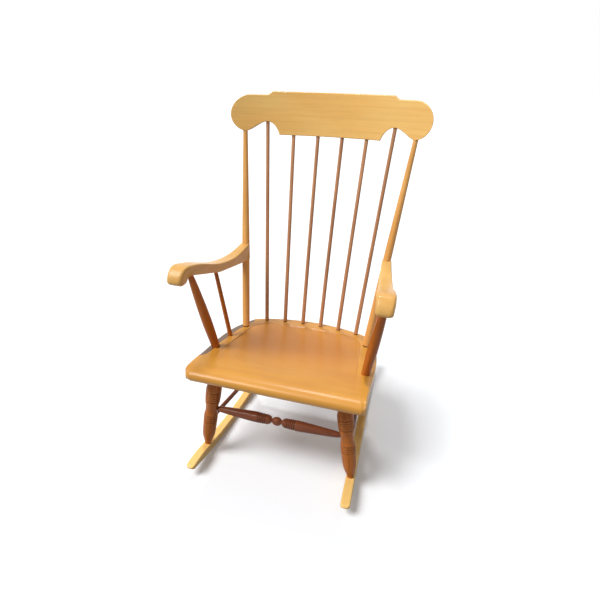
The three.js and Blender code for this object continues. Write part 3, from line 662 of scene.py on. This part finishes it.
def make_side(side, sense):
    """What stands on one side of the chair. sense is 1 on the right and -1 on the left."""
    def facing(line):
        return line if sense == 1 else mirrored(line)

    turnings = (
        ("stile", STILE_LINE, STILE_ROWS, STILE_DIAMETER, "amber_wood", amber, ()),
        ("arm_post", POST_LINE, POST_ROWS, POST_DIAMETER, "walnut_stain", chestnut, ()),
        (
            "arm_spindle", ARM_SPINDLE_LINE, ARM_SPINDLE_ROWS, ARM_SPINDLE_DIAMETER,
            "walnut_stain", chestnut, (),
        ),
        ("leg_front", FRONT_LEG_LINE, LEG_ROWS, LEG_DIAMETER, "walnut_stain", chestnut, LEG_RINGS),
        ("leg_rear", REAR_LEG_LINE, LEG_ROWS, LEG_DIAMETER, "walnut_stain", chestnut, LEG_RINGS),
        ("stretcher_side", SIDE_STRETCHER_LINE, DOWEL_ROWS, DOWEL_DIAMETER, "walnut_stain", walnut, ()),
    )
    for plank, (name, line, *facts, rings) in enumerate(turnings, start=sense * 3):
        turned_piece(f"{name}_{side}", facing(line), *facts, rings=rings, plank=plank)
    make_arm(side, sense, honey_arms)
    make_rocker(side, sense, honey)
    # The back spindles are numbered from left to right, three on each side
    for place in range(len(SPINDLE_CREST_X)):
        number = 4 + place if sense == 1 else 3 - place
        turned_piece(
            f"back_spindle_{number}", facing(spindle_line(place)), SPINDLE_ROWS, SPINDLE_DIAMETER,
            "amber_wood", dark_amber, plank=number,
        )


def make_middle_stretchers():
    rows = [((1 - share) / 2, size) for share, size in reversed(STRETCHER_HALF_ROWS[1:])]
    rows += [((1 + share) / 2, size) for share, size in STRETCHER_HALF_ROWS]
    start, end, count = STRETCHER_HALF_RINGS
    rings = [((1 - end) / 2, (1 - start) / 2, count), ((1 + start) / 2, (1 + end) / 2, count)]
    turned_piece(
        "stretcher_front", FRONT_STRETCHER_LINE, rows, FRONT_STRETCHER_DIAMETER,
        "walnut_stain", walnut, rings=rings, plank=11,
    )
    turned_piece(
        "stretcher_rear", REAR_STRETCHER_LINE, DOWEL_ROWS, DOWEL_DIAMETER,
        "walnut_stain", walnut, plank=12,
    )


# The seat

def seat_outline(corner_radius):
    """Half of the seat's plan, in the board's own plane: the front edge, the side and the back."""
    half = SEAT_WIDTH / 2
    shoulder = SEAT_SHOULDER_WIDTH / 2
    back = SEAT_BACK_WIDTH / 2
    back_radius = (back ** 2 + SEAT_BACK_BOW ** 2) / (2 * SEAT_BACK_BOW)
    corner = (half - corner_radius, SEAT_NOSE + corner_radius)
    front = [(0, SEAT_NOSE)]
    front += arc(corner, corner_radius, -math.pi / 2, -math.pi / 4, SEAT_CORNER_STEPS)
    side = arc(corner, corner_radius, -math.pi / 4, 0, SEAT_CORNER_STEPS)
    shoulder_pull = (
        shoulder + SEAT_SHOULDER_PULL * math.cos(SEAT_SHOULDER_TURN),
        SEAT_SHOULDER_DEPTH - SEAT_SHOULDER_PULL * math.sin(SEAT_SHOULDER_TURN),
    )
    side += bezier(
        (half, SEAT_SIDE_STRAIGHT), (half, SEAT_SIDE_STRAIGHT + SEAT_SIDE_PULL),
        shoulder_pull, (shoulder, SEAT_SHOULDER_DEPTH), SEAT_SIDE_STEPS,
    )
    back_centre = (0, SEAT_DEPTH - back_radius)
    rear = arc(back_centre, back_radius, math.pi / 2, math.acos(back / back_radius), SEAT_BACK_STEPS)
    rear.append((shoulder, SEAT_SHOULDER_DEPTH))
    return front, side, rear


def both_halves(right, left):
    """A line from the left to the right, from its halves that start at the middle."""
    return other_side(reversed(left)) + right[1:]


def seat_plan(front, rear, left, right):
    """A function that gives the place at shares across and back between the seat's four edges."""
    columns, rows = SEAT_GRID
    across_pull, back_pull = SEAT_BUNCHING
    at_front, at_rear = (
        [along(line, bunched(i / columns, across_pull)) for i in range(columns + 1)]
        for line in (front, rear)
    )
    at_left, at_right = (
        [along(line, bunched(i / rows, back_pull)) for i in range(rows + 1)]
        for line in (left, right)
    )

    def place_at(s, t):
        column, row = round(s * columns), round(t * rows)
        s, t = bunched(s, across_pull), bunched(t, back_pull)
        return [
            mix(at_front[column][i], at_rear[column][i], t) + mix(at_left[row][i], at_right[row][i], s)
            - mix(mix(front[0][i], front[-1][i], s), mix(rear[0][i], rear[-1][i], s), t)
            for i in (0, 1)
        ]

    return place_at


def dish_outline():
    right = [(0, DISH_FRONT), (DISH_FRONT_WIDTH / 2, DISH_FRONT), (DISH_BACK_WIDTH / 2, DISH_CORNER)]
    right += bezier(
        (DISH_BACK_WIDTH / 2, DISH_CORNER), (DISH_BACK_WIDTH / 2, DISH_BACK),
        (DISH_BACK_WIDTH / 4, DISH_BACK), (0, DISH_BACK), SEAT_BACK_STEPS,
    )[1:]
    return right


def dish_drop(x, y, rim):
    """How deep the dish is at a place that lies rim outside its scored line, or inside it if negative."""
    bowl = 1 - (x / DISH_BOWL[0]) ** 2 - ((y - DISH_CENTRE) / DISH_BOWL[1]) ** 2
    share = clamped(0.5 - rim / DISH_EDGE)
    return DISH_DEPTH * max(bowl, 0) * share * share * (3 - 2 * share)


def band_reach(x, y, side_rows):
    """How far a place lies inside the sloping band along the seat's side, or outside it if negative."""
    if not BAND_START < y < SEAT_SHOULDER_DEPTH:
        return -BAND_WIDTH
    share = (y - BAND_START) / (SEAT_SHOULDER_DEPTH - BAND_START)
    return abs(x) - value_at(side_rows, y) + BAND_WIDTH * value_at(BAND_SHARES, share)


def make_seat(material):
    right_front, right_side, rear = seat_outline(SEAT_CORNERS[1])
    left_front, left_side, _ = seat_outline(SEAT_CORNERS[-1])
    left_side = other_side(left_side)
    front_line, rear_line = both_halves(right_front, left_front), both_halves(rear, rear)
    place_at = seat_plan(front_line, rear_line, left_side, right_side)
    from_front = distance_to([front_line], SEAT_OUTLINE_GAP)
    from_sides = distance_to([right_side, left_side, rear_line], SEAT_OUTLINE_GAP)
    dish = dish_outline()
    from_dish = distance_to([dish, other_side(dish)], SEAT_OUTLINE_GAP)
    dish_rows = sorted((y, x) for x, y in dish[1:])
    side_rows = sorted((y, x) for x, y in right_side)

    def facts_at(s, t, on_rim):
        x, y = place_at(s, t)
        front_gap, side_gap = from_front(x, y), from_sides(x, y)
        if on_rim:
            front_gap = 0 if front_gap < side_gap else front_gap
            side_gap = 0 if side_gap <= front_gap else side_gap
        side_drop = roll(side_gap, SEAT_EDGE_ROUND)
        hang = SEAT_ROLL_HANG * smooth_at([(SEAT_UNDER_ROLL[0], 1), (SEAT_ROLL_END, 0)], front_gap)
        under = max(roll(front_gap, SEAT_UNDER_ROLL), side_drop) - SEAT_THICKNESS - hang
        inside = DISH_FRONT < y < DISH_BACK and abs(x) < value_at(dish_rows, y)
        rim = from_dish(x, y) * (-1 if inside else 1)
        band = band_reach(x, y, side_rows)
        top = -max(roll(front_gap, SEAT_ROLL), side_drop)
        top -= max(band, 0) * BAND_SLOPE + dish_drop(x, y, rim)
        return {
            "top": Vector((x, y, top)), "under": Vector((x, y, under)), "rim": rim,
            "right": band if x > 0 else -BAND_WIDTH, "left": band if x < 0 else -BAND_WIDTH,
            "worn": max(0, 1 - min(front_gap, side_gap) / SEAT_RUBBED),
        }

    bm, facts = paired_sheets(SEAT_GRID, facts_at)
    mark(
        bm, lambda place: (place.y, place.z, place.x),
        rim=lambda vert: facts[vert.index]["rim"],
        right_band=lambda vert: facts[vert.index]["right"],
        left_band=lambda vert: facts[vert.index]["left"],
        worn=lambda vert: facts[vert.index]["worn"],
    )
    close_sheets(bm)
    tilt = Matrix.Rotation(-SEAT_TILT, 4, "X")
    placed = Matrix.Translation((0, SEAT_FRONT_Y, SEAT_FRONT_HEIGHT)) @ tilt
    bmesh.ops.transform(bm, matrix=placed, verts=bm.verts)
    finish_piece("seat_board", bm, "seat", "honey_wood", material)


# The crest rail

def crest_column(share):
    """How far out a column of the crest rail's grid stands, finest at the notch and the ear's end."""
    ear_share, ear_x = CREST_COLUMNS[-1]
    if share < ear_share:
        return value_at(CREST_COLUMNS, share)
    return ear_x + CREST_EAR_RADIUS * math.sin((share - ear_share) / (1 - ear_share) * math.pi / 2)


def bent_face(radius, middle, x):
    """The y at x of a face bent to a radius, from the y of its middle."""
    return middle - radius + math.sqrt(radius ** 2 - x ** 2)


def make_crest(material):
    upper = sorted(CREST_UPPER)
    outline = [CREST_LOWER, upper, other_side(CREST_LOWER), other_side(upper)]
    from_edge = distance_to(outline, CREST_OUTLINE_GAP)

    def facts_at(s, t, on_rim):
        share = 2 * s - 1
        x = math.copysign(crest_column(abs(share)), share)
        t = bunched(t, CREST_BUNCHING)
        z = mix(value_at(CREST_LOWER, abs(x)), value_at(upper, abs(x)), t)
        distance = 0 if on_rim else from_edge(x, z)
        thin = roll(distance, (CREST_ROUND, CREST_ROUND))
        front = bent_face(CREST_RADIUS, CREST_FRONT_Y, x) + thin
        back = bent_face(CREST_RADIUS + CREST_THICKNESS, CREST_FRONT_Y + CREST_THICKNESS, x) - thin
        lean = z * math.sin(CREST_RECLINE)
        height = CREST_BOTTOM + z * math.cos(CREST_RECLINE)
        # The lower rim gets painted shade, and the other edges are rubbed pale
        lower_rim = on_rim and t < 0.5
        return {
            "top": Vector((x, front + lean, height)), "under": Vector((x, back + lean, height)),
            "worn": -value_at(CREST_PAINTED_SHADE, z) if lower_rim else max(0, 1 - distance / CREST_RUBBED),
        }

    bm, facts = paired_sheets(CREST_GRID, facts_at)
    mark(
        bm, lambda place: (place.z, place.y + crest_bow(place.x), place.x),
        worn=lambda vert: facts[vert.index]["worn"],
    )
    close_sheets(bm)
    finish_piece("crest_board", bm, "crest_rail", "honey_wood", material)


# The arms and the rockers

def arm_station(share, sense):
    top = spline_point(ARM_TOP_SHARES, share)
    under = spline_point(ARM_UNDER_SHARES, share)
    y = arm_point(((top[0] + under[0]) / 2, 0))[0]
    width = ARM_WIDTH * value_at(ARM_WIDTH_SHARES, top[0]) * smooth_at(ARM_NOSE_NARROWING, share)
    rounding = smooth_at(ARM_ROUND, share)
    return (arm_point(top), arm_point(under), arm_centre(y) * sense, width, rounding)


def close_end(sections):
    """Rounds off the last section with smaller ones, each a little further on."""
    last = sections[-1]
    middle = sum(last, Vector()) / len(last)
    before = sum(sections[-2], Vector()) / len(last)
    onward = (middle - before).normalized()
    thick = min((point - middle).length for point in last)
    closing = []
    for share in ARM_CLOSING:
        shrink = math.sqrt(1 - share ** 2)
        reach = onward * thick * ARM_CLOSING_OUT * share
        section = []
        for point in last:
            size = mix(1, shrink, ARM_CLOSING_IN * thick / (point - middle).length)
            section.append(middle + (point - middle) * size + reach)
        closing.append(section)
    return sections + closing


def make_arm(side, sense, material):
    stations = [arm_station(i / ARM_STATIONS, sense) for i in range(ARM_STATIONS + 1)]
    bm = tube(close_end(bent_bar(stations)))
    mark(bm, lambda place: (place.x, place.z, place.y), worn=lambda vert: 0)
    finish_piece(f"arm_board_{side}", bm, f"arm_{side}", "honey_wood", material)


def rocker_station(place):
    """A rocker's section at a place along it. It thins towards the tips, and its noses are rounded."""
    left = ROCKER_LENGTH / 2 - abs(place)
    under = rocker_arc(ROCKER_RADIUS, place)
    thickness = rocker_arc(ROCKER_RADIUS - ROCKER_THICKNESS, place) - under
    if left < ROCKER_TIP_TAPER:
        fall = 1 - left / ROCKER_TIP_TAPER
        thickness = mix(thickness, ROCKER_TIP_HEIGHT, fall ** ROCKER_TIP_CURVE)
    if left < ROCKER_NOSE_ROUND:
        close = dome(left / ROCKER_NOSE_ROUND)
        under += (1 - close) * thickness / 2
        thickness *= max(close, ROCKER_NOSE_LEAST)
    width = ROCKER_WIDTH - 2 * roll(left, (ROCKER_TIP_ROUND, ROCKER_TIP_ROUND))
    rounding = min(ROCKER_ROUND, thickness / ROCKER_THIN_ROUND)
    return ((place, under + thickness), (place, under), 0, width, rounding)


def make_rocker(side, sense, material):
    half = ROCKER_LENGTH / 2
    shares = [bunched(i / ROCKER_STATIONS, ROCKER_BUNCHING) for i in range(ROCKER_STATIONS + 1)]
    bm = tube(bent_bar([rocker_station(mix(-half, half, share)) for share in shares]))
    mark(bm, lambda place: (place.x, place.z, place.y), worn=lambda vert: 0)
    turn = Matrix.Rotation(ROCKER_TOE_IN * sense, 4, "Z")
    placed = Matrix.Translation((ROCKER_GAUGE / 2 * sense, 0, 0)) @ turn
    bmesh.ops.transform(bm, matrix=placed, verts=bm.verts)
    finish_piece(f"rocker_bar_{side}", bm, f"rocker_{side}", "honey_wood", material)


# Materials

def hex_colour(text):
    """An sRGB hex colour as linear values."""
    channels = [int(text[i:i + 2], 16) / 255 for i in (1, 3, 5)]
    return tuple(c / 12.92 if c <= 0.04045 else ((c + 0.055) / 1.055) ** 2.4 for c in channels) + (1,)


def add_node(tree, kind, inputs, out=0, **settings):
    """Adds a node with its settings and gives one of its outputs. An input that is a socket is linked."""
    node = tree.nodes.new(kind)
    for name, value in settings.items():
        setattr(node, name, value)
    for name, value in inputs.items():
        if isinstance(value, bpy.types.NodeSocket):
            tree.links.new(value, node.inputs[name])
        else:
            node.inputs[name].default_value = value
    return node.outputs[out] if len(node.outputs) else node


# Sizes of the patterns in the wood, in millimetres
TONE_PATCH = 110
FIGURE_WIDTH = 18
# Maple's fibres and pores are at most 0.1 mm wide. They are drawn coarser, so that they show.
FIBRE_WIDTH = 4
PORE_WIDTH = 1.2
# How much a place along the grain counts, so that a pattern is drawn out along it
FIGURE_STRETCH = 0.05
TONE_STRETCH = 0.4
GROWTH_STRETCH = 0.03
# The pattern's values from which and up to which it darkens the wood, and how strongly
FIGURE_SHOWS = (0.4, 0.7, 1)
GROWTH_SHOWS = (0.5, 1, 0.45)
FIBRE_SHOWS = (0.5, 0.75, 0.8)
PORE_SHOWS = (0.55, 0.75, 0.5)
# Growth rings lie round a middle beside the board, in metres, and are flattened
LOG_OFFSET = (0.11, 0.03, 0)
LOG_SQUASH = 1.6

# Lacquer's IOR, and how much its gloss and its last coat reflect before wear
LACQUER_IOR = 1.4
LACQUER_LEVEL = 0.7
LACQUER_COAT = 0.5
# The last coat of lacquer is smoother than the wood under it
COAT_SMOOTHER = 0.2
GLOSS_DRIFT = (-0.03, 0.06)
FIBRE_RAISED = 0.3

# How much glaze stays in a groove, which also sets how strongly the painted shade at joint lines and along
# the crest rail's lower edge shows, and how much of the stain is rubbed off an edge
GLAZE_AND_SHADE_SHARE = 0.92
RUBBED_SHARE = 0.3
# Dark colours mixed in where worn is below 0. The honey, amber and dark amber ones only paint shade, along
# the crest rail's lower edge and at joint lines; the dark one is glaze in the turned grooves and painted
# shade at joint lines.
HONEY_PAINTED_SHADE = "#6b4018"
AMBER_PAINTED_SHADE = "#4a2410"
DARK_AMBER_PAINTED_SHADE = "#3a1c0c"
DARK_GLAZE_AND_SHADE = "#240e05"

# The seat's wear, its darker scored line and the painted shade on its bands, in millimetres from the dish's
# line, across the seat or back from its front
SAT_ON = "#c27824"
SAT_ON_DEEP = 60
SAT_ON_SHARES = (0.5, 0.85)
SAT_ON_EDGE = 3
SAT_ON_FRONT = (60, 260)
SCORED_LINE_DARK = "#7a4a1c"
SCORED_LINE_DARK_REACH = (0.5, 2.2)
SCORED_LINE_DARK_ACROSS = (-150, -20)
SCORED_LINE_DARK_SHARES = (0.75, 0.3)
SCORED_LINE_DARK_FRONT = (120, 200)
# Painted shade on the sloping bands along the seat's sides
BAND_PAINTED_SHADE = "#66482c"
BAND_PAINTED_SHADE_EDGE = (-0.8, 1.2)
BAND_PAINTED_SHADE_SHARES = {"left_band": 1, "right_band": 0.25}


def wood_patterns(tree, place, growth):
    """Patches of tone, the fibres, and what runs along the grain as (pattern, from, to, strength)."""
    wide = add_node(tree, "ShaderNodeMapping", {"Vector": place, "Scale": (1, 1, TONE_STRETCH)})
    drift = add_node(tree, "ShaderNodeTexNoise", {"Vector": wide, "Scale": 1000 / TONE_PATCH, "Detail": 3})
    long = add_node(tree, "ShaderNodeMapping", {"Vector": place, "Scale": (1, 1, FIGURE_STRETCH)})
    figure = add_node(tree, "ShaderNodeTexNoise", {
        "Vector": long, "Scale": 1000 / FIGURE_WIDTH, "Detail": 3, "Roughness": 0.55, "Distortion": 0.4,
    })
    fibre = add_node(tree, "ShaderNodeTexNoise", {
        "Vector": long, "Scale": 1000 / FIBRE_WIDTH, "Detail": 3, "Roughness": 0.6,
    })
    pore = add_node(tree, "ShaderNodeTexNoise", {"Vector": long, "Scale": 1000 / PORE_WIDTH, "Detail": 2})
    log = add_node(tree, "ShaderNodeMapping", {
        "Vector": place, "Scale": (1, LOG_SQUASH, GROWTH_STRETCH), "Location": LOG_OFFSET,
    })
    # A wave repeats every pi / 10 over its scale
    waves = {
        "Vector": log, "Scale": math.pi / 10 / (growth * MM), "Distortion": 1.6,
        "Detail": 2, "Detail Scale": 0.6, "Detail Roughness": 0.5,
    }
    lines = add_node(
        tree, "ShaderNodeTexWave", waves, "Fac",
        wave_type="RINGS", rings_direction="Z", wave_profile="SAW",
    )
    grain = (
        (figure, *FIGURE_SHOWS), (lines, *GROWTH_SHOWS), (fibre, *FIBRE_SHOWS), (pore, *PORE_SHOWS),
    )
    return drift, fibre, grain


def seat_tones(tree, place, colour):
    """What the seat has besides its wood: a browner dish, a darker scored line, and painted shade on the
    bands at its sides.
    """
    rim = add_node(tree, "ShaderNodeAttribute", {}, "Fac", attribute_name="rim")
    depth = add_node(tree, "ShaderNodeSeparateXYZ", {0: place}, "X")
    across = add_node(tree, "ShaderNodeSeparateXYZ", {0: place}, "Z")
    # The dish is browner towards its middle, and changes softly into the front of the seat
    at_line, at_middle = SAT_ON_SHARES
    inward = add_node(tree, "ShaderNodeMapRange", {
        "Value": rim, "From Min": -SAT_ON_DEEP, "From Max": 0, "To Min": at_middle, "To Max": at_line,
    })
    inside = add_node(tree, "ShaderNodeMapRange", {
        "Value": rim, "From Min": 0, "From Max": SAT_ON_EDGE, "To Min": 1, "To Max": 0,
    })
    near, far = SAT_ON_FRONT
    behind = add_node(tree, "ShaderNodeMapRange", {
        "Value": depth, "From Min": near * MM, "From Max": far * MM,
    })
    share = add_node(tree, "ShaderNodeMath", {0: inward, 1: inside}, operation="MULTIPLY")
    share = add_node(tree, "ShaderNodeMath", {0: share, 1: behind}, operation="MULTIPLY")
    colour = add_node(
        tree, "ShaderNodeMix", {0: share, 6: colour, 7: hex_colour(SAT_ON)}, 2, data_type="RGBA",
    )
    # The scored line is darkened, more so on the left
    beside = add_node(tree, "ShaderNodeMath", {0: rim}, operation="ABSOLUTE")
    full, gone = SCORED_LINE_DARK_REACH
    line = add_node(tree, "ShaderNodeMapRange", {
        "Value": beside, "From Min": full, "From Max": gone, "To Min": 1, "To Max": 0,
    })
    leftmost, rightmost = SCORED_LINE_DARK_ACROSS
    at_left, at_right = SCORED_LINE_DARK_SHARES
    leftward = add_node(tree, "ShaderNodeMapRange", {
        "Value": across, "From Min": leftmost * MM, "From Max": rightmost * MM,
        "To Min": at_left, "To Max": at_right,
    })
    near, far = SCORED_LINE_DARK_FRONT
    behind = add_node(tree, "ShaderNodeMapRange", {
        "Value": depth, "From Min": near * MM, "From Max": far * MM,
    })
    share = add_node(tree, "ShaderNodeMath", {0: line, 1: leftward}, operation="MULTIPLY")
    share = add_node(tree, "ShaderNodeMath", {0: share, 1: behind}, operation="MULTIPLY")
    colour = add_node(
        tree, "ShaderNodeMix", {0: share, 6: colour, 7: hex_colour(SCORED_LINE_DARK)}, 2, data_type="RGBA",
    )
    # The bands are darkened brown as painted shade, fully on the left and a quarter as much on the right
    start, end = BAND_PAINTED_SHADE_EDGE
    for side, strength in BAND_PAINTED_SHADE_SHARES.items():
        band = add_node(tree, "ShaderNodeAttribute", {}, "Fac", attribute_name=side)
        share = add_node(tree, "ShaderNodeMapRange", {
            "Value": band, "From Min": start, "From Max": end, "To Max": strength,
        })
        colour = add_node(
            tree, "ShaderNodeMix", {0: share, 6: colour, 7: hex_colour(BAND_PAINTED_SHADE)}, 2, data_type="RGBA",
        )
    return colour


def lacquered_wood(name, tones, glaze_and_shade, streak, growth, roughness, shine, seat=False):
    """Maple, stained and sprayed with satin lacquer. Its tone drifts over a hand's width, growth lines
    and short pores run along the grain, and where worn is below 0 the wood is darkened:
    glazed in turned grooves, and painted shade at joint lines and along the crest rail's lower edge.
    Where it is above 0, the stain is rubbed pale. tones are its light, middle and dark sRGB colours,
    growth is the spacing of its growth lines in millimetres, streak is how strongly lines and pores
    show, and shine how much of the lacquer's own reflection is left after wear."""
    light, middle, dark = (hex_colour(tone) for tone in tones)
    material = bpy.data.materials.new(name)
    material.use_nodes = True
    tree = material.node_tree
    tree.nodes.clear()
    place = add_node(tree, "ShaderNodeAttribute", {}, "Vector", attribute_name="grain")
    worn = add_node(tree, "ShaderNodeAttribute", {}, "Fac", attribute_name="worn")
    drift, fibre, grain = wood_patterns(tree, place, growth)

    # The tones, from the wood's own to what was rubbed on and off it
    share = add_node(tree, "ShaderNodeMapRange", {"Value": drift, "From Min": 0.35, "From Max": 0.65})
    colour = add_node(tree, "ShaderNodeMix", {0: share, 6: middle, 7: light}, 2, data_type="RGBA")
    for pattern, low, high, strength in grain:
        share = add_node(tree, "ShaderNodeMapRange", {
            "Value": pattern, "From Min": low, "From Max": high, "To Max": streak * strength,
        })
        colour = add_node(tree, "ShaderNodeMix", {0: share, 6: colour, 7: dark}, 2, data_type="RGBA")
    if seat:
        colour = seat_tones(tree, place, colour)
    # Glaze in grooves, and painted shade at joint lines and along the crest rail's lower edge, where worn
    # is below 0
    share = add_node(tree, "ShaderNodeMapRange", {
        "Value": worn, "From Min": -1, "From Max": -0.1, "To Min": GLAZE_AND_SHADE_SHARE, "To Max": 0,
    })
    colour = add_node(
        tree, "ShaderNodeMix", {0: share, 6: colour, 7: hex_colour(glaze_and_shade)}, 2, data_type="RGBA",
    )
    share = add_node(tree, "ShaderNodeMapRange", {
        "Value": worn, "From Min": 0.3, "From Max": 1, "To Max": RUBBED_SHARE,
    })
    colour = add_node(tree, "ShaderNodeMix", {0: share, 6: colour, 7: light}, 2, data_type="RGBA")

    # The lacquer: its gloss drifts with the wood's tone, and the fibres are faintly raised under it
    glossy, dull = GLOSS_DRIFT
    gloss = add_node(tree, "ShaderNodeMapRange", {
        "Value": drift, "From Min": 0.3, "From Max": 0.7,
        "To Min": roughness + glossy, "To Max": roughness + dull,
    })
    raised = add_node(tree, "ShaderNodeBump", {
        "Strength": 0.1, "Distance": FIBRE_RAISED * MM, "Height": fibre,
    })
    shader = add_node(tree, "ShaderNodeBsdfPrincipled", {
        "Base Color": colour, "Roughness": gloss, "Normal": raised,
        "IOR": LACQUER_IOR, "Specular IOR Level": shine * LACQUER_LEVEL,
        "Coat Weight": shine * LACQUER_COAT, "Coat Roughness": roughness - COAT_SMOOTHER,
    })
    add_node(tree, "ShaderNodeOutputMaterial", {"Surface": shader})
    return material


# Golden honey stain, the palest: the grain shows faintly through it
honey = lacquered_wood(
    "lacquered_honey_maple", ("#ffd27f", "#fdc772", "#b87834"), HONEY_PAINTED_SHADE,
    streak=0.14, growth=20, roughness=0.34, shine=0.35,
)
# The arms, in a darker and duller honey than the crest rail and rockers
honey_arms = lacquered_wood(
    "lacquered_honey_maple_arms", ("#efbf70", "#e4ae60", "#a87038"), HONEY_PAINTED_SHADE,
    streak=0.12, growth=20, roughness=0.36, shine=0.35,
)
# The seat's boards, browner from use, with a satin shine along the rolled front
honey_seat = lacquered_wood(
    "lacquered_honey_maple_seat", ("#dd9d3c", "#cf8e34", "#a06420"), HONEY_PAINTED_SHADE,
    streak=0.08, growth=35, roughness=0.43, shine=0.6, seat=True,
)
# Amber stain on the stiles
amber = lacquered_wood(
    "lacquered_amber_maple", ("#fabe6f", "#eaa858", "#8f5122"), AMBER_PAINTED_SHADE,
    streak=0.22, growth=10, roughness=0.32, shine=0.35,
)
# A darker, pinker amber on the back spindles, with more shine than the stiles have
dark_amber = lacquered_wood(
    "lacquered_dark_amber_maple", ("#dfa576", "#c48a5f", "#74482c"), DARK_AMBER_PAINTED_SHADE,
    streak=0.3, growth=10, roughness=0.32, shine=0.5,
)
# Chestnut stain on the legs and arm posts, nearly black in the turned grooves
chestnut = lacquered_wood(
    "lacquered_chestnut_maple", ("#d98238", "#bb6a27", "#5c2a0e"), DARK_GLAZE_AND_SHADE,
    streak=0.35, growth=10, roughness=0.32, shine=0.2,
)
# Walnut stain on the stretchers, darker and redder
walnut = lacquered_wood(
    "lacquered_walnut_maple", ("#a05e3e", "#7e4329", "#34160a"), DARK_GLAZE_AND_SHADE,
    streak=0.35, growth=10, roughness=0.32, shine=0.25,
)

make_seat(honey_seat)
make_crest(honey)
make_side("right", 1)
make_side("left", -1)
make_middle_stretchers()


# The studio

# The paper as it is seen, and how much of the light on it goes back up to the chair
PAPER_SEEN = (0.93, 0.95, 0.98, 1)
PAPER_SHADED = (0.25, 0.25, 0.25, 1)
PAPER_GLOW = 0.1
PAPER_HALF = 30
WORLD_LIGHT = 0.3
# Lights: the direction towards them, how wide they look in degrees, and their power
CEILING_LIGHT = ((-0.16, 0.42, 0.89), 8, 0.85)
WINDOW_LIGHT = ((-0.474, -0.387, 0.79), 28, 2.7)
# The camera as it was fitted to the photograph: its place in metres, how it is turned, and its lens
CAMERA_PLACE = (0.3431356, -1.2779689, 1.1046741)
CAMERA_YAW = math.radians(15.5606)
CAMERA_PITCH = math.radians(25.8244)
CAMERA_ROLL = math.radians(1.5637)
CAMERA_LENS = 27.465
CAMERA_SENSOR = 36


def seen_directly(tree):
    """1 for rays that show the backdrop itself, straight or through gloss or glass, and 0 for its light."""
    seen = add_node(tree, "ShaderNodeLightPath", {}, "Is Camera Ray")
    for ray in ("Is Glossy Ray", "Is Transmission Ray"):
        other = add_node(tree, "ShaderNodeLightPath", {}, ray)
        seen = add_node(tree, "ShaderNodeMath", {0: seen, 1: other}, operation="MAXIMUM")
    return seen


def make_stage():
    material = bpy.data.materials.new("studio_paper")
    material.use_nodes = True
    tree = material.node_tree
    tree.nodes.clear()
    seen = seen_directly(tree)
    tone = add_node(tree, "ShaderNodeMix", {0: seen, 6: PAPER_SHADED, 7: PAPER_SEEN}, 2, data_type="RGBA")
    paper = add_node(tree, "ShaderNodeBsdfDiffuse", {"Color": tone})
    strength = add_node(tree, "ShaderNodeMapRange", {"Value": seen, "To Max": PAPER_GLOW})
    glow = add_node(tree, "ShaderNodeEmission", {"Strength": strength})
    both = add_node(tree, "ShaderNodeAddShader", {0: paper, 1: glow})
    add_node(tree, "ShaderNodeOutputMaterial", {"Surface": both})
    bm = bmesh.new()
    bmesh.ops.create_grid(bm, x_segments=1, y_segments=1, size=PAPER_HALF)
    mesh = bpy.data.meshes.new("studio_floor")
    bm.to_mesh(mesh)
    bm.free()
    mesh.materials.append(material)
    floor = bpy.data.objects.new("studio_floor", mesh)
    bpy.context.scene.collection.objects.link(floor)


def make_sun(name, towards, angle, power):
    data = bpy.data.lights.new(name, "SUN")
    data.angle = math.radians(angle)
    data.energy = power
    sun = bpy.data.objects.new(name, data)
    sun.rotation_euler = Vector(towards).to_track_quat("Z", "Y").to_euler()
    bpy.context.scene.collection.objects.link(sun)


def make_world():
    world = bpy.data.worlds.new("studio")
    world.use_nodes = True
    tree = world.node_tree
    tree.nodes.clear()
    strength = add_node(tree, "ShaderNodeMapRange", {
        "Value": seen_directly(tree), "To Min": WORLD_LIGHT, "To Max": 1,
    })
    light = add_node(tree, "ShaderNodeBackground", {"Color": (1, 1, 1, 1), "Strength": strength})
    add_node(tree, "ShaderNodeOutputWorld", {"Surface": light})
    bpy.context.scene.world = world


def make_camera():
    forward = Vector((
        -math.sin(CAMERA_YAW) * math.cos(CAMERA_PITCH),
        math.cos(CAMERA_YAW) * math.cos(CAMERA_PITCH),
        -math.sin(CAMERA_PITCH),
    ))
    right = Vector((math.cos(CAMERA_YAW), math.sin(CAMERA_YAW), 0))
    up = right.cross(forward)
    right_rolled = right * math.cos(CAMERA_ROLL) + up * math.sin(CAMERA_ROLL)
    up_rolled = up * math.cos(CAMERA_ROLL) - right * math.sin(CAMERA_ROLL)
    data = bpy.data.cameras.new("photo_camera")
    data.lens = CAMERA_LENS
    data.sensor_width = CAMERA_SENSOR
    camera = bpy.data.objects.new("photo_camera", data)
    turn = Matrix((right_rolled, up_rolled, -forward)).transposed().to_4x4()
    camera.matrix_world = Matrix.Translation(CAMERA_PLACE) @ turn
    bpy.context.scene.collection.objects.link(camera)
    bpy.context.scene.camera = camera


make_stage()
make_world()
make_sun("ceiling_light", *CEILING_LIGHT)
make_sun("window_light", *WINDOW_LIGHT)
make_camera()
bpy.context.scene.view_settings.view_transform = "Standard"
